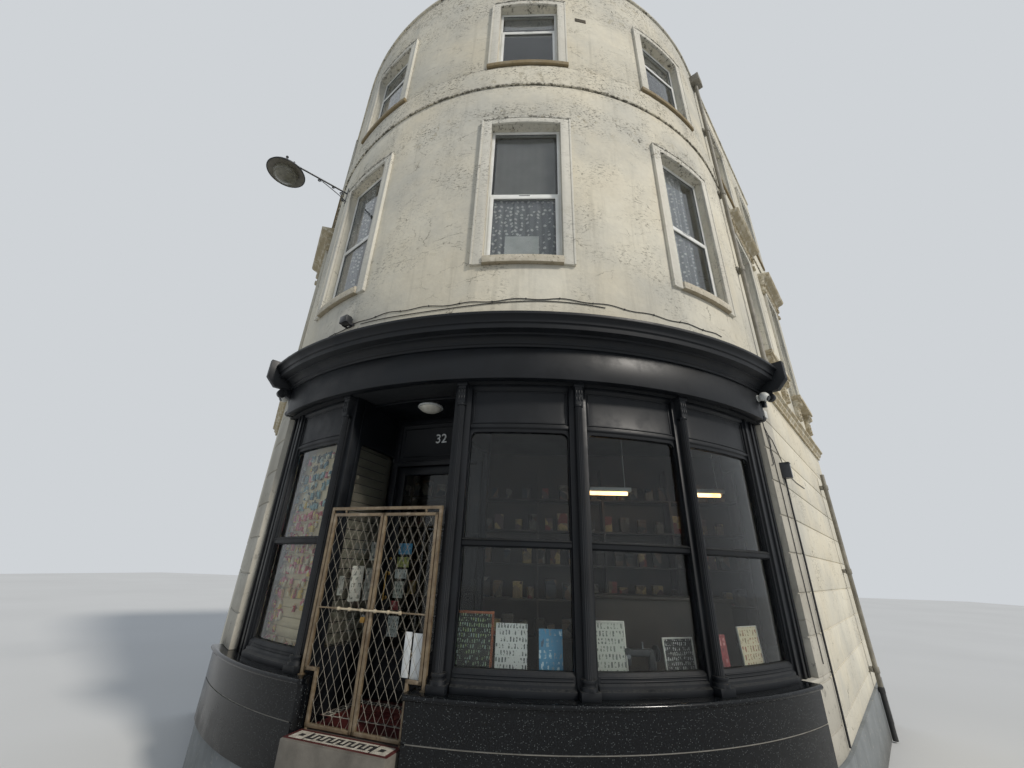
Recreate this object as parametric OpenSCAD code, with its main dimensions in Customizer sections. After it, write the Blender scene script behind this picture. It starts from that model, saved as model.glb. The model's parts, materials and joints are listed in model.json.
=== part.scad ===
// Corner shop building with a round three-storey corner between two street walls.
// Millimetres, +Z up. The origin is the centre of the round corner, on the lowest ground.
// Angles round the corner run from -Y (0) towards +X.

/* [Plan] */
// Outer radius of the round corner
bow_r = 4500; // [4200:50:5000]
// Angle from the middle of the corner to the right street wall
right_turn = 52; // [51:0.5:54]
// Angle from the middle of the corner to the left street wall
left_turn = 55; // [53:0.5:57]
// Length of the right street wall beyond the round corner
right_len = 5000; // [4700:100:6000]
// Length of the left street wall beyond the round corner
left_len = 2800; // [2500:100:3600]
// Thickness of the street walls
wall_t = 350; // [300:10:400]
// Thickness of the party walls
party_t = 230; // [150:10:330]

/* [Heights] */
// Height of the shop floor above the lowest ground
floor_h = 1030; // [950:10:1300]
// Height of the painted base band
band_h = 700; // [500:10:740]
// Height of the granite plinth above the shop floor
plinth_h = 370; // [320:10:420]
// Height of the shopfront from the plinth to its soffit
front_h = 2720; // [2600:20:2900]
// Height of the fascia board
fascia_h = 355; // [300:5:400]
// Height of the shop cornice
cornice_h = 320; // [260:10:340]
// Height from the shop floor to the first floor
shop_storey = 3920; // [3900:10:4100]
// Height from the first floor to the second floor
first_storey = 4050; // [3950:10:4200]
// Height from the second floor to the roof
second_storey = 2900; // [2800:10:3200]
// Height of the parapet above the roof
parapet_h = 800; // [500:10:1100]
// Thickness of the floors
slab_t = 250; // [180:10:300]

/* [Shopfront] */
// Angle of the entrance from the middle of the corner
door_a = -15.7; // [-16.5:0.1:-15]
// Angle between the columns of the left window
left_bay = 15; // [14:0.1:16]
// Angle between the columns of the entrance
door_bay = 19; // [18.5:0.1:19.5]
// Angle between the columns of the right windows
shop_bay = 15.6; // [15:0.1:16]
// Angle from each end of the shopfront to its end window
post_bay = 3.8; // [3:0.1:4.5]
// Width of a column's flat pilaster
pilaster_w = 180; // [160:5:200]
// Diameter of a reeded column shaft
shaft_d = 72; // [60:1:80]
// Thickness of the timber window frames
frame_t = 70; // [50:5:80]
// Width of a window frame's side pieces
stile_w = 10; // [8:1:20]
// Height of the panel under the glass
stall_h = 165; // [120:5:200]
// Height from the plinth to the middle of the transom
transom_h = 1140; // [1000:10:1300]
// Height from the plinth to the top of the glass
light_top = 2200; // [2000:10:2350]
// Radius of the top corners of the glass
corner_r = 60; // [30:5:90]
// Depth of the display shelves behind the windows
shelf_d = 575; // [400:25:700]
// Thickness of the shop glass
glass_t = 10; // [6:1:14]
// Projection of the granite plinth from the wall face
plinth_out = 80; // [50:5:120]
// Projection of the plinth's capping
cap_out = 30; // [15:5:45]
// Thickness of the plinth's capping
cap_t = 45; // [35:5:60]
// Radius of the plinth's corners at the entrance
plinth_r = 120; // [80:5:150]
// Projection of the fascia from the wall face
fascia_out = 100; // [80:5:130]
// Projection of the cornice from the fascia
cornice_out = 265; // [220:5:340]

/* [Entrance] */
// Width of the recessed lobby
lobby_w = 1240; // [1200:10:1280]
// Depth of the lobby behind the wall's outer face
lobby_d = 950; // [900:10:1100]
// Width between the plinths at the threshold
step_w = 1000; // [940:10:1040]
// Height of the shop door leaf
door_h = 2430; // [2200:10:2480]
// Thickness of the shop door leaf
door_t = 45; // [38:1:55]
// Width of the door frame's posts
jamb_w = 65; // [50:5:80]
// Height of the gate leaves above the shop floor
gate_h = 1760; // [1600:10:1900]
// Width of one gate bar
gate_bar = 28; // [20:1:34]
// Width of one diamond of the gate mesh
diamond_w = 88; // [70:1:110]
// Height of one diamond of the gate mesh
diamond_h = 168; // [140:2:200]
// Gap round each moving leaf
leaf_gap = 6; // [5:1:8]

/* [Upper windows] */
// Angle of the middle window from the middle of the corner
win_mid = 1.5; // [0:0.5:3]
// Angle of each side window from the middle of the corner
win_step = 35; // [34:0.5:36]
// Width of the window openings
win_w = 1000; // [800:10:1080]
// Height of the first-floor openings
win1_h = 2540; // [2200:10:2600]
// Height of the first-floor sills above their floor
sill1 = 790; // [650:10:850]
// Height of the second-floor openings
win2_h = 1740; // [1500:10:1800]
// Height of the second-floor sills above their floor
sill2 = 790; // [780:10:950]
// Height of the first-floor windows' middle rails above the sill
meet1 = 1175; // [950:5:1300]
// Height of the second-floor windows' middle rails above the sill
meet2 = 1110; // [900:5:1200]
// Width of the raised surrounds
surround_w = 145; // [100:5:170]
// Projection of the raised surrounds
surround_out = 40; // [20:5:60]
// Depth of the sashes behind the wall face
reveal_d = 120; // [80:5:150]
// Width of the window frame pieces
sash_w = 45; // [35:1:60]
// Height of the band under the second-floor sills
string_h = 480; // [300:10:490]
// Projection of the band under the second-floor sills
string_out = 25; // [15:1:40]

/* [Hidden] */

$fn = 96;
eps = 1;
black = [0.07, 0.075, 0.085];
granite = [0.1, 0.1, 0.11];
stucco = [0.8, 0.77, 0.68];
grey = [0.52, 0.53, 0.53];
plaster = [0.78, 0.76, 0.72];
upvc = [0.93, 0.93, 0.92];
clear_glass = [0.6, 0.7, 0.72, 0.4];
bronze = [0.6, 0.48, 0.28];

// Closed bed joint between two pieces, and the same gap as an angle round the corner
bed = 0.3;
slit = 0.006;
in_r = bow_r - wall_t;
front_r = bow_r - 100;
frame_r = front_r - frame_t;
cap_top = floor_h + plinth_h;
soffit_z = cap_top + front_h;
fascia_top = soffit_z + fascia_h;
cornice_top = fascia_top + cornice_h;
first_z = floor_h + shop_storey;
beam_top = first_z - slab_t;
second_z = first_z + first_storey;
string_z = second_z + 215;
roof_z = second_z + second_storey;
coping_t = 60;
joint = 3;
top_z = roof_z + parapet_h;
wall_top = top_z - coping_t;

// Angles of the four columns, of the outer edges of the end windows and of the shopfront's ends
col_a = [door_a - door_bay / 2, door_a + door_bay / 2, door_a + door_bay / 2 + shop_bay,
    door_a + door_bay / 2 + 2 * shop_bay];
end_lo = col_a[0] - left_bay;
end_hi = col_a[3] + shop_bay + 0.6;
front_lo = end_lo - post_bay;
front_hi = end_hi + post_bay;
plinth_lo = -50;
plinth_hi = 41.5;
fascia_lo = front_lo + 2;
fascia_hi = front_hi - 2.2;
cornice_lo = front_lo + 0.8;
cornice_hi = front_hi - 0.8;
door_v = bow_r - lobby_d;
gate_v = bow_r - 70;
win_a = [-win_step, win_mid, win_step];

// Where the two party walls meet at the back, measured inwards from each street wall
back_turn = (right_turn + left_turn) / 2;
function det(a, b) = a[0] * b[1] - a[1] * b[0];
right_in = [-sin(right_turn), cos(right_turn)];
left_in = [sin(left_turn), cos(left_turn)];
right_end = [bow_r * sin(right_turn) + right_len * cos(right_turn),
    -bow_r * cos(right_turn) + right_len * sin(right_turn)];
left_end = [-bow_r * sin(left_turn) - left_len * cos(left_turn),
    -bow_r * cos(left_turn) + left_len * sin(left_turn)];
right_party = det(left_end - right_end, left_in) / det(right_in, left_in);
left_party = det(left_end - right_end, right_in) / det(right_in, left_in);

// Places children at an angle round the corner, with x along the wall and y inwards
module at_angle(a, r = 0) rotate([0, 0, a]) translate([0, -r, 0]) children();

// Places children in a street wall's frame: x away from the corner, y inwards, from the outer face
module on_right() at_angle(right_turn, bow_r) children();
module on_left() mirror([1, 0, 0]) at_angle(left_turn, bow_r) children();

// Places children in the entrance's frame: x along the entrance, y inwards from the corner's centre
module at_door() rotate([0, 0, door_a]) children();

module sweep(a1, a2) rotate([0, 0, a1 - 90]) rotate_extrude(angle = a2 - a1, $fn = 360) children();

module ring(r1, r2, z1, z2, a1, a2) sweep(a1, a2) translate([r1, z1]) square([r2 - r1, z2 - z1]);

module box(x1, x2, y1, y2, z1, z2) translate([x1, y1, z1]) cube([x2 - x1, y2 - y1, z2 - z1]);

// The plan inside the walls, a round corner with two straight sides and two party walls
arc_steps = 108;
module plan_2d(w, p) {
    r = bow_r - w;
    right_dir = [cos(right_turn), sin(right_turn)];
    left_dir = [-cos(left_turn), sin(left_turn)];
    arc = [for (i = [0 : arc_steps]) let(a = -left_turn + i * (right_turn + left_turn) / arc_steps)
        r * [sin(a), -cos(a)]];
    polygon(concat(arc, [arc[arc_steps] + right_dir * (right_len - p),
        right_end - right_dir * p + right_in * (right_party - p / tan(back_turn)),
        arc[0] + left_dir * (left_len - p)]));
}

module slab(z1, z2) translate([0, 0, z1]) linear_extrude(z2 - z1) plan_2d(wall_t + bed, party_t + bed);

module footings() color(grey) {
    ring(in_r, bow_r + 40, 0, band_h, -left_turn, right_turn);
    on_right() box(bed, right_len, -40, wall_t, 0, band_h);
    on_left() box(bed, left_len, -40, wall_t, 0, band_h);
}
module ground_slab() color(grey) slab(0, 150);

lobby_back = -door_v + 100;
module lobby_notch(side, z1, z2) at_door() box(-side, side, -bow_r, lobby_back - lobby_w / 2 + side, z1, z2);

module shop_floor() color(plaster) difference() {
    slab(floor_h - slab_t, floor_h);
    lobby_notch(lobby_w / 2 + bed, floor_h - slab_t - eps, floor_h + eps);
}

module lobby_floor() color([0.45, 0.14, 0.12]) intersection() {
    slab(floor_h - slab_t, floor_h);
    lobby_notch(lobby_w / 2, floor_h - slab_t, floor_h);
}

module step_gap(side, z1, z2) at_door() box(-side, side, -2 * bow_r, 0, z1, z2);

threshold_out = 120;
module threshold() color(stucco) intersection() {
    ring(in_r, bow_r + plinth_out + threshold_out, band_h + bed, floor_h, door_a - 15, door_a + 15);
    step_gap(step_w / 2 - bed, band_h, floor_h);
}

// Granite plinth: a deep lower course, a joint, an upper course in front, and a rounded capping
module plinth_2d() {
    face = bow_r + plinth_out;
    tip = face + cap_out - cap_t / 2;
    joint_z = floor_h + 60;
    polygon([[in_r, band_h + bed], [face, band_h + bed], [face, joint_z - 5], [face - 10, joint_z - 5],
        [face - 10, joint_z + 5], [face, joint_z + 5], [face, cap_top - cap_t], [tip, cap_top - cap_t],
        [tip, cap_top], [frame_r, cap_top], [frame_r, floor_h], [in_r, floor_h]]);
    translate([tip, cap_top - cap_t / 2]) circle(d = cap_t, $fn = 32);
}
// What a rounded corner takes off: the square corner less the circle
module corner_cut(r, z1, z2) translate([0, 0, z1]) linear_extrude(z2 - z1)
    translate([step_w / 2 + plinth_r, -(bow_r + plinth_out - plinth_r)]) difference() {
        translate([-plinth_r - 40, -plinth_r - 90]) square([plinth_r + 40, plinth_r + 90]);
        circle(r = r);
    }
module corner_cuts() {
    corner_cut(plinth_r, band_h - eps, cap_top - cap_t);
    corner_cut(plinth_r + cap_out, cap_top - cap_t, cap_top + eps);
}
module plinths() color(granite) difference() {
    sweep(plinth_lo, plinth_hi) plinth_2d();
    step_gap(step_w / 2, band_h - eps, cap_top + eps);
    at_door() corner_cuts();
    at_door() mirror([1, 0, 0]) corner_cuts();
}

// Rusticated stonework: courses with sunk joints
course_h = 413;
first_joint = 937;
module pier_joints(a1, a2) for (z = [first_joint : course_h : beam_top - 100])
    ring(bow_r - 15, bow_r + 60, z - 8, z + 8, a1, a2);
module wall_joints(len) for (z = [first_joint : course_h : beam_top - 100])
    box(-eps, len + eps, -eps, 15, z - 8, z + 8);

module piers() color(stucco) difference() {
    union() {
        ring(in_r, bow_r, band_h + bed, cap_top - bed, -left_turn, plinth_lo - slit);
        ring(in_r, bow_r, cap_top + bed, beam_top, -left_turn, front_lo);
        ring(in_r, bow_r, band_h + bed, cap_top - bed, plinth_hi + slit, right_turn);
        ring(in_r, bow_r, cap_top + bed, beam_top, front_hi, right_turn);
    }
    pier_joints(-left_turn - 1, front_lo + 1);
    pier_joints(plinth_hi - 1, right_turn + 1);
}
module street_walls_ground() color(stucco) {
    on_right() difference() {
        box(bed, right_len, 0, wall_t, band_h + bed, beam_top);
        wall_joints(right_len);
    }
    on_left() difference() {
        box(bed, left_len, 0, wall_t, band_h + bed, beam_top);
        wall_joints(left_len);
    }
}

module party_plan(len, depth) polygon([[len - party_t, wall_t + bed], [len, wall_t + bed], [len, depth - bed],
    [len - party_t, depth - bed - party_t / tan(back_turn)]]);
module party_walls() color(plaster) {
    on_right() linear_extrude(wall_top) party_plan(right_len, right_party);
    on_left() linear_extrude(wall_top) party_plan(left_len, left_party);
}

module beam() color(stucco) ring(in_r, bow_r, soffit_z + bed, beam_top, front_lo + slit, front_hi - slit);

// A slim reeded column against a flat pilaster
capital_h = 255;
necking_h = 18;
column_y = -bow_r + 25;
module shaft_2d() {
    circle(d = shaft_d - 14);
    for (i = [0 : 6]) rotate([0, 0, 180 + i * 30]) translate([shaft_d / 2 - 9, 0]) circle(r = 9, $fn = 24);
}
module shop_column() {
    h = front_h - bed;
    box(-pilaster_w / 2, pilaster_w / 2, -front_r - 30, -frame_r, cap_top + bed, soffit_z);
    translate([0, column_y, cap_top + bed]) {
        box(-shaft_d * 1.1, shaft_d * 1.1, -shaft_d * 0.9, 75, 0, 60);
        translate([0, 0, 60]) cylinder(h = 30, r = shaft_d * 0.95);
        translate([0, 0, 90]) cylinder(h = 25, r = shaft_d * 0.75);
        translate([0, 0, 115]) cylinder(h = 22, r = shaft_d * 0.88);
        translate([0, 0, 137]) linear_extrude(h - 137 - capital_h) shaft_2d();
        translate([0, 0, h - capital_h]) cylinder(h = necking_h, r = shaft_d * 0.62);
        box(-shaft_d * 0.55, shaft_d * 0.55, -shaft_d * 0.55, 75, h - capital_h + necking_h, h - 40);
        box(-shaft_d * 0.75, shaft_d * 0.75, -shaft_d * 0.7, 75, h - 40, h);
    }
}
module columns() color(black) for (a = col_a) at_angle(a) shop_column();

// Half the angle that a pilaster takes up, with a clear gap beside it
pilaster_a = asin((pilaster_w / 2 + 1) / frame_r);

// Plain moulded posts between the end windows and the stone piers
module arc_2d(r1, r2, a1, a2) intersection() {
    difference() {
        circle(r = r2, $fn = 360);
        circle(r = r1, $fn = 360);
    }
    polygon([[0, 0], 2 * r2 * [sin(a1), -cos(a1)], 2 * r2 * [sin(a2), -cos(a2)]]);
}
module end_post(a1, a2) translate([0, 0, cap_top + bed]) linear_extrude(front_h - bed) {
    arc_2d(frame_r, front_r + 20, a1, a2);
    for (a = [a1 + 0.5, (a1 + a2) / 2, a2 - 1.2]) arc_2d(frame_r + 10, front_r + 42, a, a + 0.7);
}
module end_posts() color(black) {
    end_post(front_lo + slit, end_lo + pilaster_a - slit);
    end_post(end_hi - pilaster_a + slit, front_hi - slit);
}

// A light of the shop window, cut straight through, with round top corners
module light_2d(w, h, r) {
    translate([-w / 2, 0]) square([w, h - r]);
    translate([-w / 2 + r, 0]) square([w - 2 * r, h]);
    if (r > 0) for (s = [-1, 1]) translate([s * (w / 2 - r), h - r]) circle(r = r, $fn = 48);
}
module light(w, z1, z2, r) translate([0, -frame_r + 100, z1]) rotate([90, 0, 0])
    linear_extrude(frame_t + 400) light_2d(w, z2 - z1, r);

function bay_w(a) = 2 * front_r * sin(a / 2) - pilaster_w - 2 * stile_w;
glass_lo = cap_top + stall_h;
transom_lo = cap_top + transom_h - 40;
transom_hi = cap_top + transom_h + 40;
glass_hi = cap_top + light_top;

module bay_lights(bay) {
    light(bay_w(bay), glass_lo, transom_lo, 0);
    light(bay_w(bay), transom_hi, glass_hi, corner_r);
}
module shop_window(bay) {
    edge = bay / 2 - pilaster_a;
    z = cap_top + bed;
    difference() {
        sweep(-edge, edge) polygon([[frame_r, z], [front_r + 70, z], [front_r + 70, z + 45],
            [front_r + 40, z + 60], [front_r + 40, z + 80], [front_r + 22, z + 95],
            [front_r + 22, glass_lo - 25], [front_r, glass_lo - 3],
            [front_r, transom_lo + 3], [front_r + 22, transom_lo + 15],
            [front_r + 22, transom_hi - 30], [front_r + 35, transom_hi - 20], [front_r, transom_hi - 3],
            [front_r, glass_hi + 30], [front_r + 18, glass_hi + 45], [front_r + 18, glass_hi + 70],
            [front_r, glass_hi + 80], [front_r, soffit_z - 60], [front_r + 30, soffit_z - 35],
            [front_r + 30, soffit_z], [frame_r, soffit_z]]);
        bay_lights(bay);
    }
}
// Middle angle and width in degrees of each window
bays = [[(end_lo + col_a[0]) / 2, left_bay], [(col_a[1] + col_a[2]) / 2, shop_bay],
    [(col_a[2] + col_a[3]) / 2, shop_bay], [(col_a[3] + end_hi) / 2, end_hi - col_a[3]]];
module shop_windows() color(black) for (b = bays) at_angle(b[0]) shop_window(b[1]);

// Lobby sides: a panelled stall, one tall light and a panel above, in line with the door posts
screen_t = 70;
screen_x = lobby_w / 2 + screen_t;
screen_v = (frame_r - screen_x * sin(door_bay / 2)) / cos(door_bay / 2) - 2;
module screen_light(x1, x2) translate([x1, (lobby_back - screen_v) / 2, glass_lo]) rotate([90, 0, 90])
    linear_extrude(x2 - x1) light_2d(lobby_back + screen_v - 120, glass_hi - glass_lo, corner_r);
module screen(side) {
    x1 = side > 0 ? lobby_w / 2 : -lobby_w / 2 - screen_t;
    difference() {
        box(x1, x1 + screen_t, -screen_v, lobby_back, floor_h + bed, soffit_z);
        screen_light(x1 - eps, x1 + screen_t + eps);
    }
}
module lobby_screens() color(black) at_door() {
    screen(-1);
    screen(1);
}
module shop_glass() color(clear_glass) {
    for (b = bays) at_angle(b[0]) intersection() {
        ring(frame_r + 30, frame_r + 30 + glass_t, cap_top, soffit_z, -shop_bay / 2, shop_bay / 2);
        bay_lights(b[1]);
    }
    at_door() for (s = [-1, 1]) translate([s * (lobby_w / 2 + screen_t / 2), 0, 0])
        screen_light(-glass_t / 2, glass_t / 2);
}

// Display shelves behind the shop windows, each with a board down to the floor
shelf_t = 30;
module shelf_2d() {
    edge = frame_r - 5;
    shelf_r = edge - shelf_d;
    polygon([[shelf_r, floor_h + bed], [shelf_r + shelf_t, floor_h + bed], [shelf_r + shelf_t, cap_top - shelf_t],
        [edge, cap_top - shelf_t], [edge, cap_top], [shelf_r, cap_top]]);
}
module display_shelves() color(plaster) {
    sweep(front_lo + 0.5, col_a[0] - 2.5) shelf_2d();
    sweep(col_a[1] + 1.5, plinth_hi - 0.2) shelf_2d();
}

// Grooved display board behind the left lobby light
board_x = -screen_x - 40;
board_t = 20;
module slatwall() color([0.78, 0.7, 0.56]) at_door() difference() {
    box(board_x, board_x + board_t, -screen_v + 120, lobby_back, floor_h + bed, glass_hi + 60);
    for (z = [glass_lo : 100 : glass_hi]) box(board_x + board_t - 6, board_x + board_t + eps,
        -screen_v, lobby_back + 100, z, z + 9);
}
ceiling_t = 30;
module lobby_ceiling() color(black) intersection() {
    at_door() box(-lobby_w / 2 + bed, lobby_w / 2 - bed, -in_r, lobby_back, soffit_z - ceiling_t, soffit_z);
    cylinder(h = soffit_z, r = in_r, $fn = 360);
}
module lobby_light() color(upvc) at_door() translate([80, -door_v - 400, soffit_z - ceiling_t - bed])
    mirror([0, 0, 1]) rotate_extrude() polygon([[0, 0], [150, 0], [150, 18], [128, 40], [90, 62], [45, 74], [0, 78]]);

// Door frame with a transom and a solid panel over it
leaf_w = lobby_w - 2 * jamb_w - 2 * leaf_gap;
door_top = floor_h + 8 + door_h;
door_y = -door_v + 50;
door_in = door_y + door_t;
hinge_x = leaf_w / 2 + leaf_gap / 2;
hinge_y = door_in + 12;
knuckle_r = 7;
hinges_z = [floor_h + 250, floor_h + 1250, door_top - 250];
// A part of a hinge: a knuckle on the joint's axis and the plate that joins it to its board
module knuckle(z1, z2, x1, x2, y1) {
    translate([hinge_x, hinge_y, z1]) cylinder(h = z2 - z1, r = knuckle_r, $fn = 32);
    box(x1, x2, y1, hinge_y + 3, z1, z2);
}
module door_frame() color(black) at_door() {
    difference() {
        box(-lobby_w / 2 + bed, lobby_w / 2 - bed, -door_v, lobby_back, floor_h + bed, soffit_z - ceiling_t - bed);
        box(-lobby_w / 2 + jamb_w, lobby_w / 2 - jamb_w, -door_v - eps, lobby_back + eps,
            floor_h - eps, door_top + leaf_gap);
        box(-lobby_w / 2 + jamb_w, lobby_w / 2 - jamb_w, -door_v - eps, -door_v + 25,
            door_top + leaf_gap + 70, soffit_z - 95);
    }
    for (z = hinges_z) for (s = [-1, 1])
        knuckle(z + s * 33 - 12, z + s * 33 + 12, hinge_x, hinge_x + 45, lobby_back - 3);
}
module shop_door() color(black) at_door() {
    difference() {
        box(-leaf_w / 2, leaf_w / 2, door_y, door_in, floor_h + 8, door_top);
        box(-leaf_w / 2 + 95, leaf_w / 2 - 95, door_y - eps, door_in + eps, floor_h + 460, door_top - 100);
        box(-leaf_w / 2 + 95, leaf_w / 2 - 95, door_y - eps, door_y + 12, floor_h + 110, floor_h + 370);
    }
    for (z = hinges_z) knuckle(z - 19, z + 19, hinge_x - 48, hinge_x, door_in - 3);
}
module door_glass() color(clear_glass) at_door() box(-leaf_w / 2 + 95, leaf_w / 2 - 95,
    door_y + door_t / 2 - 4, door_y + door_t / 2 + 4, floor_h + 460, door_top - 100);
module door_handle() color(bronze) at_door() {
    x = -leaf_w / 2 + 47;
    for (z = [floor_h + 950, floor_h + 1200]) translate([x, door_y - 45, z]) rotate([-90, 0, 0])
        cylinder(h = 45, d = 16, $fn = 24);
    translate([x, door_y - 45, floor_h + 920]) cylinder(h = 310, d = 20, $fn = 24);
}

// Security gate: fixed posts on the plinth, and two stepped leaves that turn on pivots
pivot_x = step_w / 2 - 32;
leaf_lo_x = step_w / 2 - 18;
post_x = (front_r + 30) * sin(door_bay / 2) - pilaster_w / 2 * cos(door_bay / 2) - gate_bar - 2;
leaf_hi_x = post_x - 10;
gate_z1 = floor_h + 15;
gate_z2 = floor_h + gate_h;
lintel_z = gate_z2 + 60 - gate_bar;
step_z = cap_top + 40;
lock_z = floor_h + 910;
mesh_t = 4;
module socket(d_in, d_out, h) difference() {
    cylinder(h = h, d = d_out, $fn = 32);
    translate([0, 0, -eps]) cylinder(h = h + eps / 2, d = d_in, $fn = 32);
}
module gate_frame() color(bronze) at_door() translate([0, -gate_v, 0]) for (s = [0, 1]) mirror([s, 0, 0]) {
    box(post_x, post_x + gate_bar, -gate_bar / 2, gate_bar / 2, cap_top + bed, gate_z2 + 60);
    box(post_x - 8, post_x + gate_bar + 8, -gate_bar, gate_bar, cap_top + bed, cap_top + 8);
    box(-eps, post_x + eps, -gate_bar / 2, gate_bar / 2, lintel_z, gate_z2 + 60);
    translate([pivot_x, 0, lintel_z - 20]) socket(15, 26, 21);
    translate([pivot_x, 0, floor_h + bed]) difference() {
        cylinder(h = 12, d = 34, $fn = 32);
        translate([0, 0, -eps]) cylinder(h = 12 + 2 * eps, d = 19, $fn = 32);
    }
}
module leaf_outline(inset) polygon([[5 + inset, gate_z1 + inset], [leaf_lo_x - inset, gate_z1 + inset],
    [leaf_lo_x - inset, step_z + inset], [leaf_hi_x - inset, step_z + inset],
    [leaf_hi_x - inset, gate_z2 - inset], [5 + inset, gate_z2 - inset]]);
module upright(t) rotate([90, 0, 0]) translate([0, 0, -t / 2]) linear_extrude(t) children();
mesh_angle = atan2(diamond_h, diamond_w);
mesh_wide = ceil(leaf_hi_x / diamond_w);
mesh_run = floor(gate_h / diamond_h);
mesh_len = gate_h / sin(mesh_angle) + 20;
module mesh_2d() intersection() {
    leaf_outline(gate_bar / 2);
    union() {
        for (i = [-mesh_run : mesh_wide]) translate([i * diamond_w, gate_z1]) rotate([0, 0, mesh_angle])
            translate([-10, -3]) square([mesh_len, 6]);
        for (i = [0 : mesh_run + mesh_wide]) translate([i * diamond_w, gate_z1]) rotate([0, 0, 180 - mesh_angle])
            translate([-10, -3]) square([mesh_len, 6]);
    }
}
module gate_leaf() {
    upright(gate_bar) difference() {
        leaf_outline(0);
        leaf_outline(gate_bar);
    }
    upright(mesh_t) mesh_2d();
    // Lock bar with its collars
    translate([5, -gate_bar / 2 - 12, lock_z]) rotate([0, 90, 0]) cylinder(h = 330, d = 18, $fn = 24);
    for (x = [60, 200, 320]) translate([x, -gate_bar / 2 - 12, lock_z]) rotate([0, 90, 0])
        cylinder(h = 22, d = 32, $fn = 24);
    box(5 + gate_bar - eps, leaf_hi_x - gate_bar + eps, -gate_bar / 2, -mesh_t / 2, lock_z - 7, lock_z + 7);
    // Pivots
    translate([pivot_x, 0, gate_z2 - eps]) cylinder(h = 31, d = 14, $fn = 32);
    translate([pivot_x, 0, floor_h + 2]) cylinder(h = 14, d = 18, $fn = 32);
}
module gate_leaf_right() color(bronze) at_door() translate([0, -gate_v, 0]) gate_leaf();
module gate_leaf_left() color(bronze) at_door() translate([0, -gate_v, 0]) mirror([1, 0, 0]) gate_leaf();

module fascia() color(black)
    ring(bow_r + bed, bow_r + fascia_out, soffit_z, fascia_top, fascia_lo, fascia_hi);

// Stepped cornice with a plain block at each end
block_a = 1;
module cornice_run(a1, a2) sweep(a1, a2) translate([bow_r, fascia_top + bed]) children();
module end_block_2d() {
    out = fascia_out + cornice_out + 70;
    polygon([[bed, 0], [out - 110, 0], [out, 120], [out, cornice_h + 40], [bed, cornice_h + 40]]);
}
module cornice() color(black) {
    cornice_run(cornice_lo + block_a + slit, cornice_hi - block_a - slit) {
        a = fascia_out;
        b = fascia_out + cornice_out;
        h = cornice_h;
        polygon([[bed, 0], [a + 20, 0], [a + 20, 25], [a + 38, 32], [a + 38, 55], [a + 60, 80], [a + 95, 98],
            [a + 110, 100], [a + 110, 122], [b - 70, 128], [b - 70, 185], [b - 52, 190], [b - 50, 205],
            [b - 40, 228], [b - 18, 250], [b, 258], [b, h - 30], [bed, h]]);
    }
    cornice_run(cornice_lo, cornice_lo + block_a) end_block_2d();
    cornice_run(cornice_hi - block_a, cornice_hi) end_block_2d();
}

// Scrolled brackets under the end blocks of the cornice
console_t = 70;
module console_2d() {
    polygon([[bed, 0], [40, 0], [72, 60], [80, 150], [100, 230], [170, 270], [235, 300],
        [235, fascia_h - bed], [bed, fascia_h - bed]]);
    translate([60, 40]) circle(r = 38, $fn = 48);
    translate([205, 290]) circle(r = 58, $fn = 48);
}
module consoles() color(black) for (a = [cornice_lo + 0.5, cornice_hi - 0.5]) at_angle(a, bow_r)
    translate([console_t / 2, 0, soffit_z]) rotate([90, 0, -90]) linear_extrude(console_t) console_2d();

module upper_floors() color(plaster) {
    slab(beam_top, first_z);
    slab(second_z - slab_t, second_z);
}
module roof() color([0.35, 0.36, 0.37]) slab(roof_z - slab_t, roof_z);

// Window openings, as a cutter that stands at the wall face
module opening(w, h) box(-w / 2, w / 2, -200, wall_t + 200, 0, h);
win1_z = first_z + sill1;
win2_z = second_z + sill2;
module bow_windows(z, w, h) for (a = win_a) at_angle(a, bow_r) translate([0, 0, z]) opening(w, h);
right_win = [1300, 3700];
left_win = [1300];
module flank_windows(xs, z, w, h) for (x = xs) translate([x, 0, z]) opening(w, h);

module bow_wall_first() color(stucco) difference() {
    ring(in_r, bow_r, beam_top + bed, string_z, -left_turn, right_turn);
    bow_windows(win1_z, win_w, win1_h);
}
module bow_wall_second() color(stucco) difference() {
    ring(in_r, bow_r, string_z + bed, wall_top, -left_turn, right_turn);
    bow_windows(win2_z, win_w, win2_h);
}
module flank(len, z1, z2, xs, z, w, h) difference() {
    box(bed, len, 0, wall_t, z1 + bed, z2);
    flank_windows(xs, z, w, h);
}
module street_walls_first() color(stucco) {
    on_right() flank(right_len, beam_top, string_z, right_win, win1_z, win_w, win1_h);
    on_left() flank(left_len, beam_top, string_z, left_win, win1_z, win_w, win1_h);
}
module street_walls_second() color(stucco) {
    on_right() flank(right_len, string_z, wall_top, right_win, win2_z, win_w, win2_h);
    on_left() flank(left_len, string_z, wall_top, left_win, win2_z, win_w, win2_h);
}

module string_2d() polygon([[bed, 0], [string_out, 0], [string_out, string_h - 12],
    [string_out - 10, string_h], [bed, string_h]]);
module string_run(len) translate([joint, 0, string_z]) rotate([90, 0, 90]) linear_extrude(len - joint)
    mirror([1, 0]) string_2d();
module string_course() color(stucco) {
    sweep(-left_turn, right_turn) translate([bow_r, string_z]) string_2d();
    on_right() difference() {
        string_run(right_len);
        box(pipe_x - pipe_d / 2 - 8, pipe_x + pipe_d / 2 + 8, -2 * string_out, eps,
            string_z - eps, string_z + string_h + eps);
    }
    on_left() string_run(left_len);
}

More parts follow.
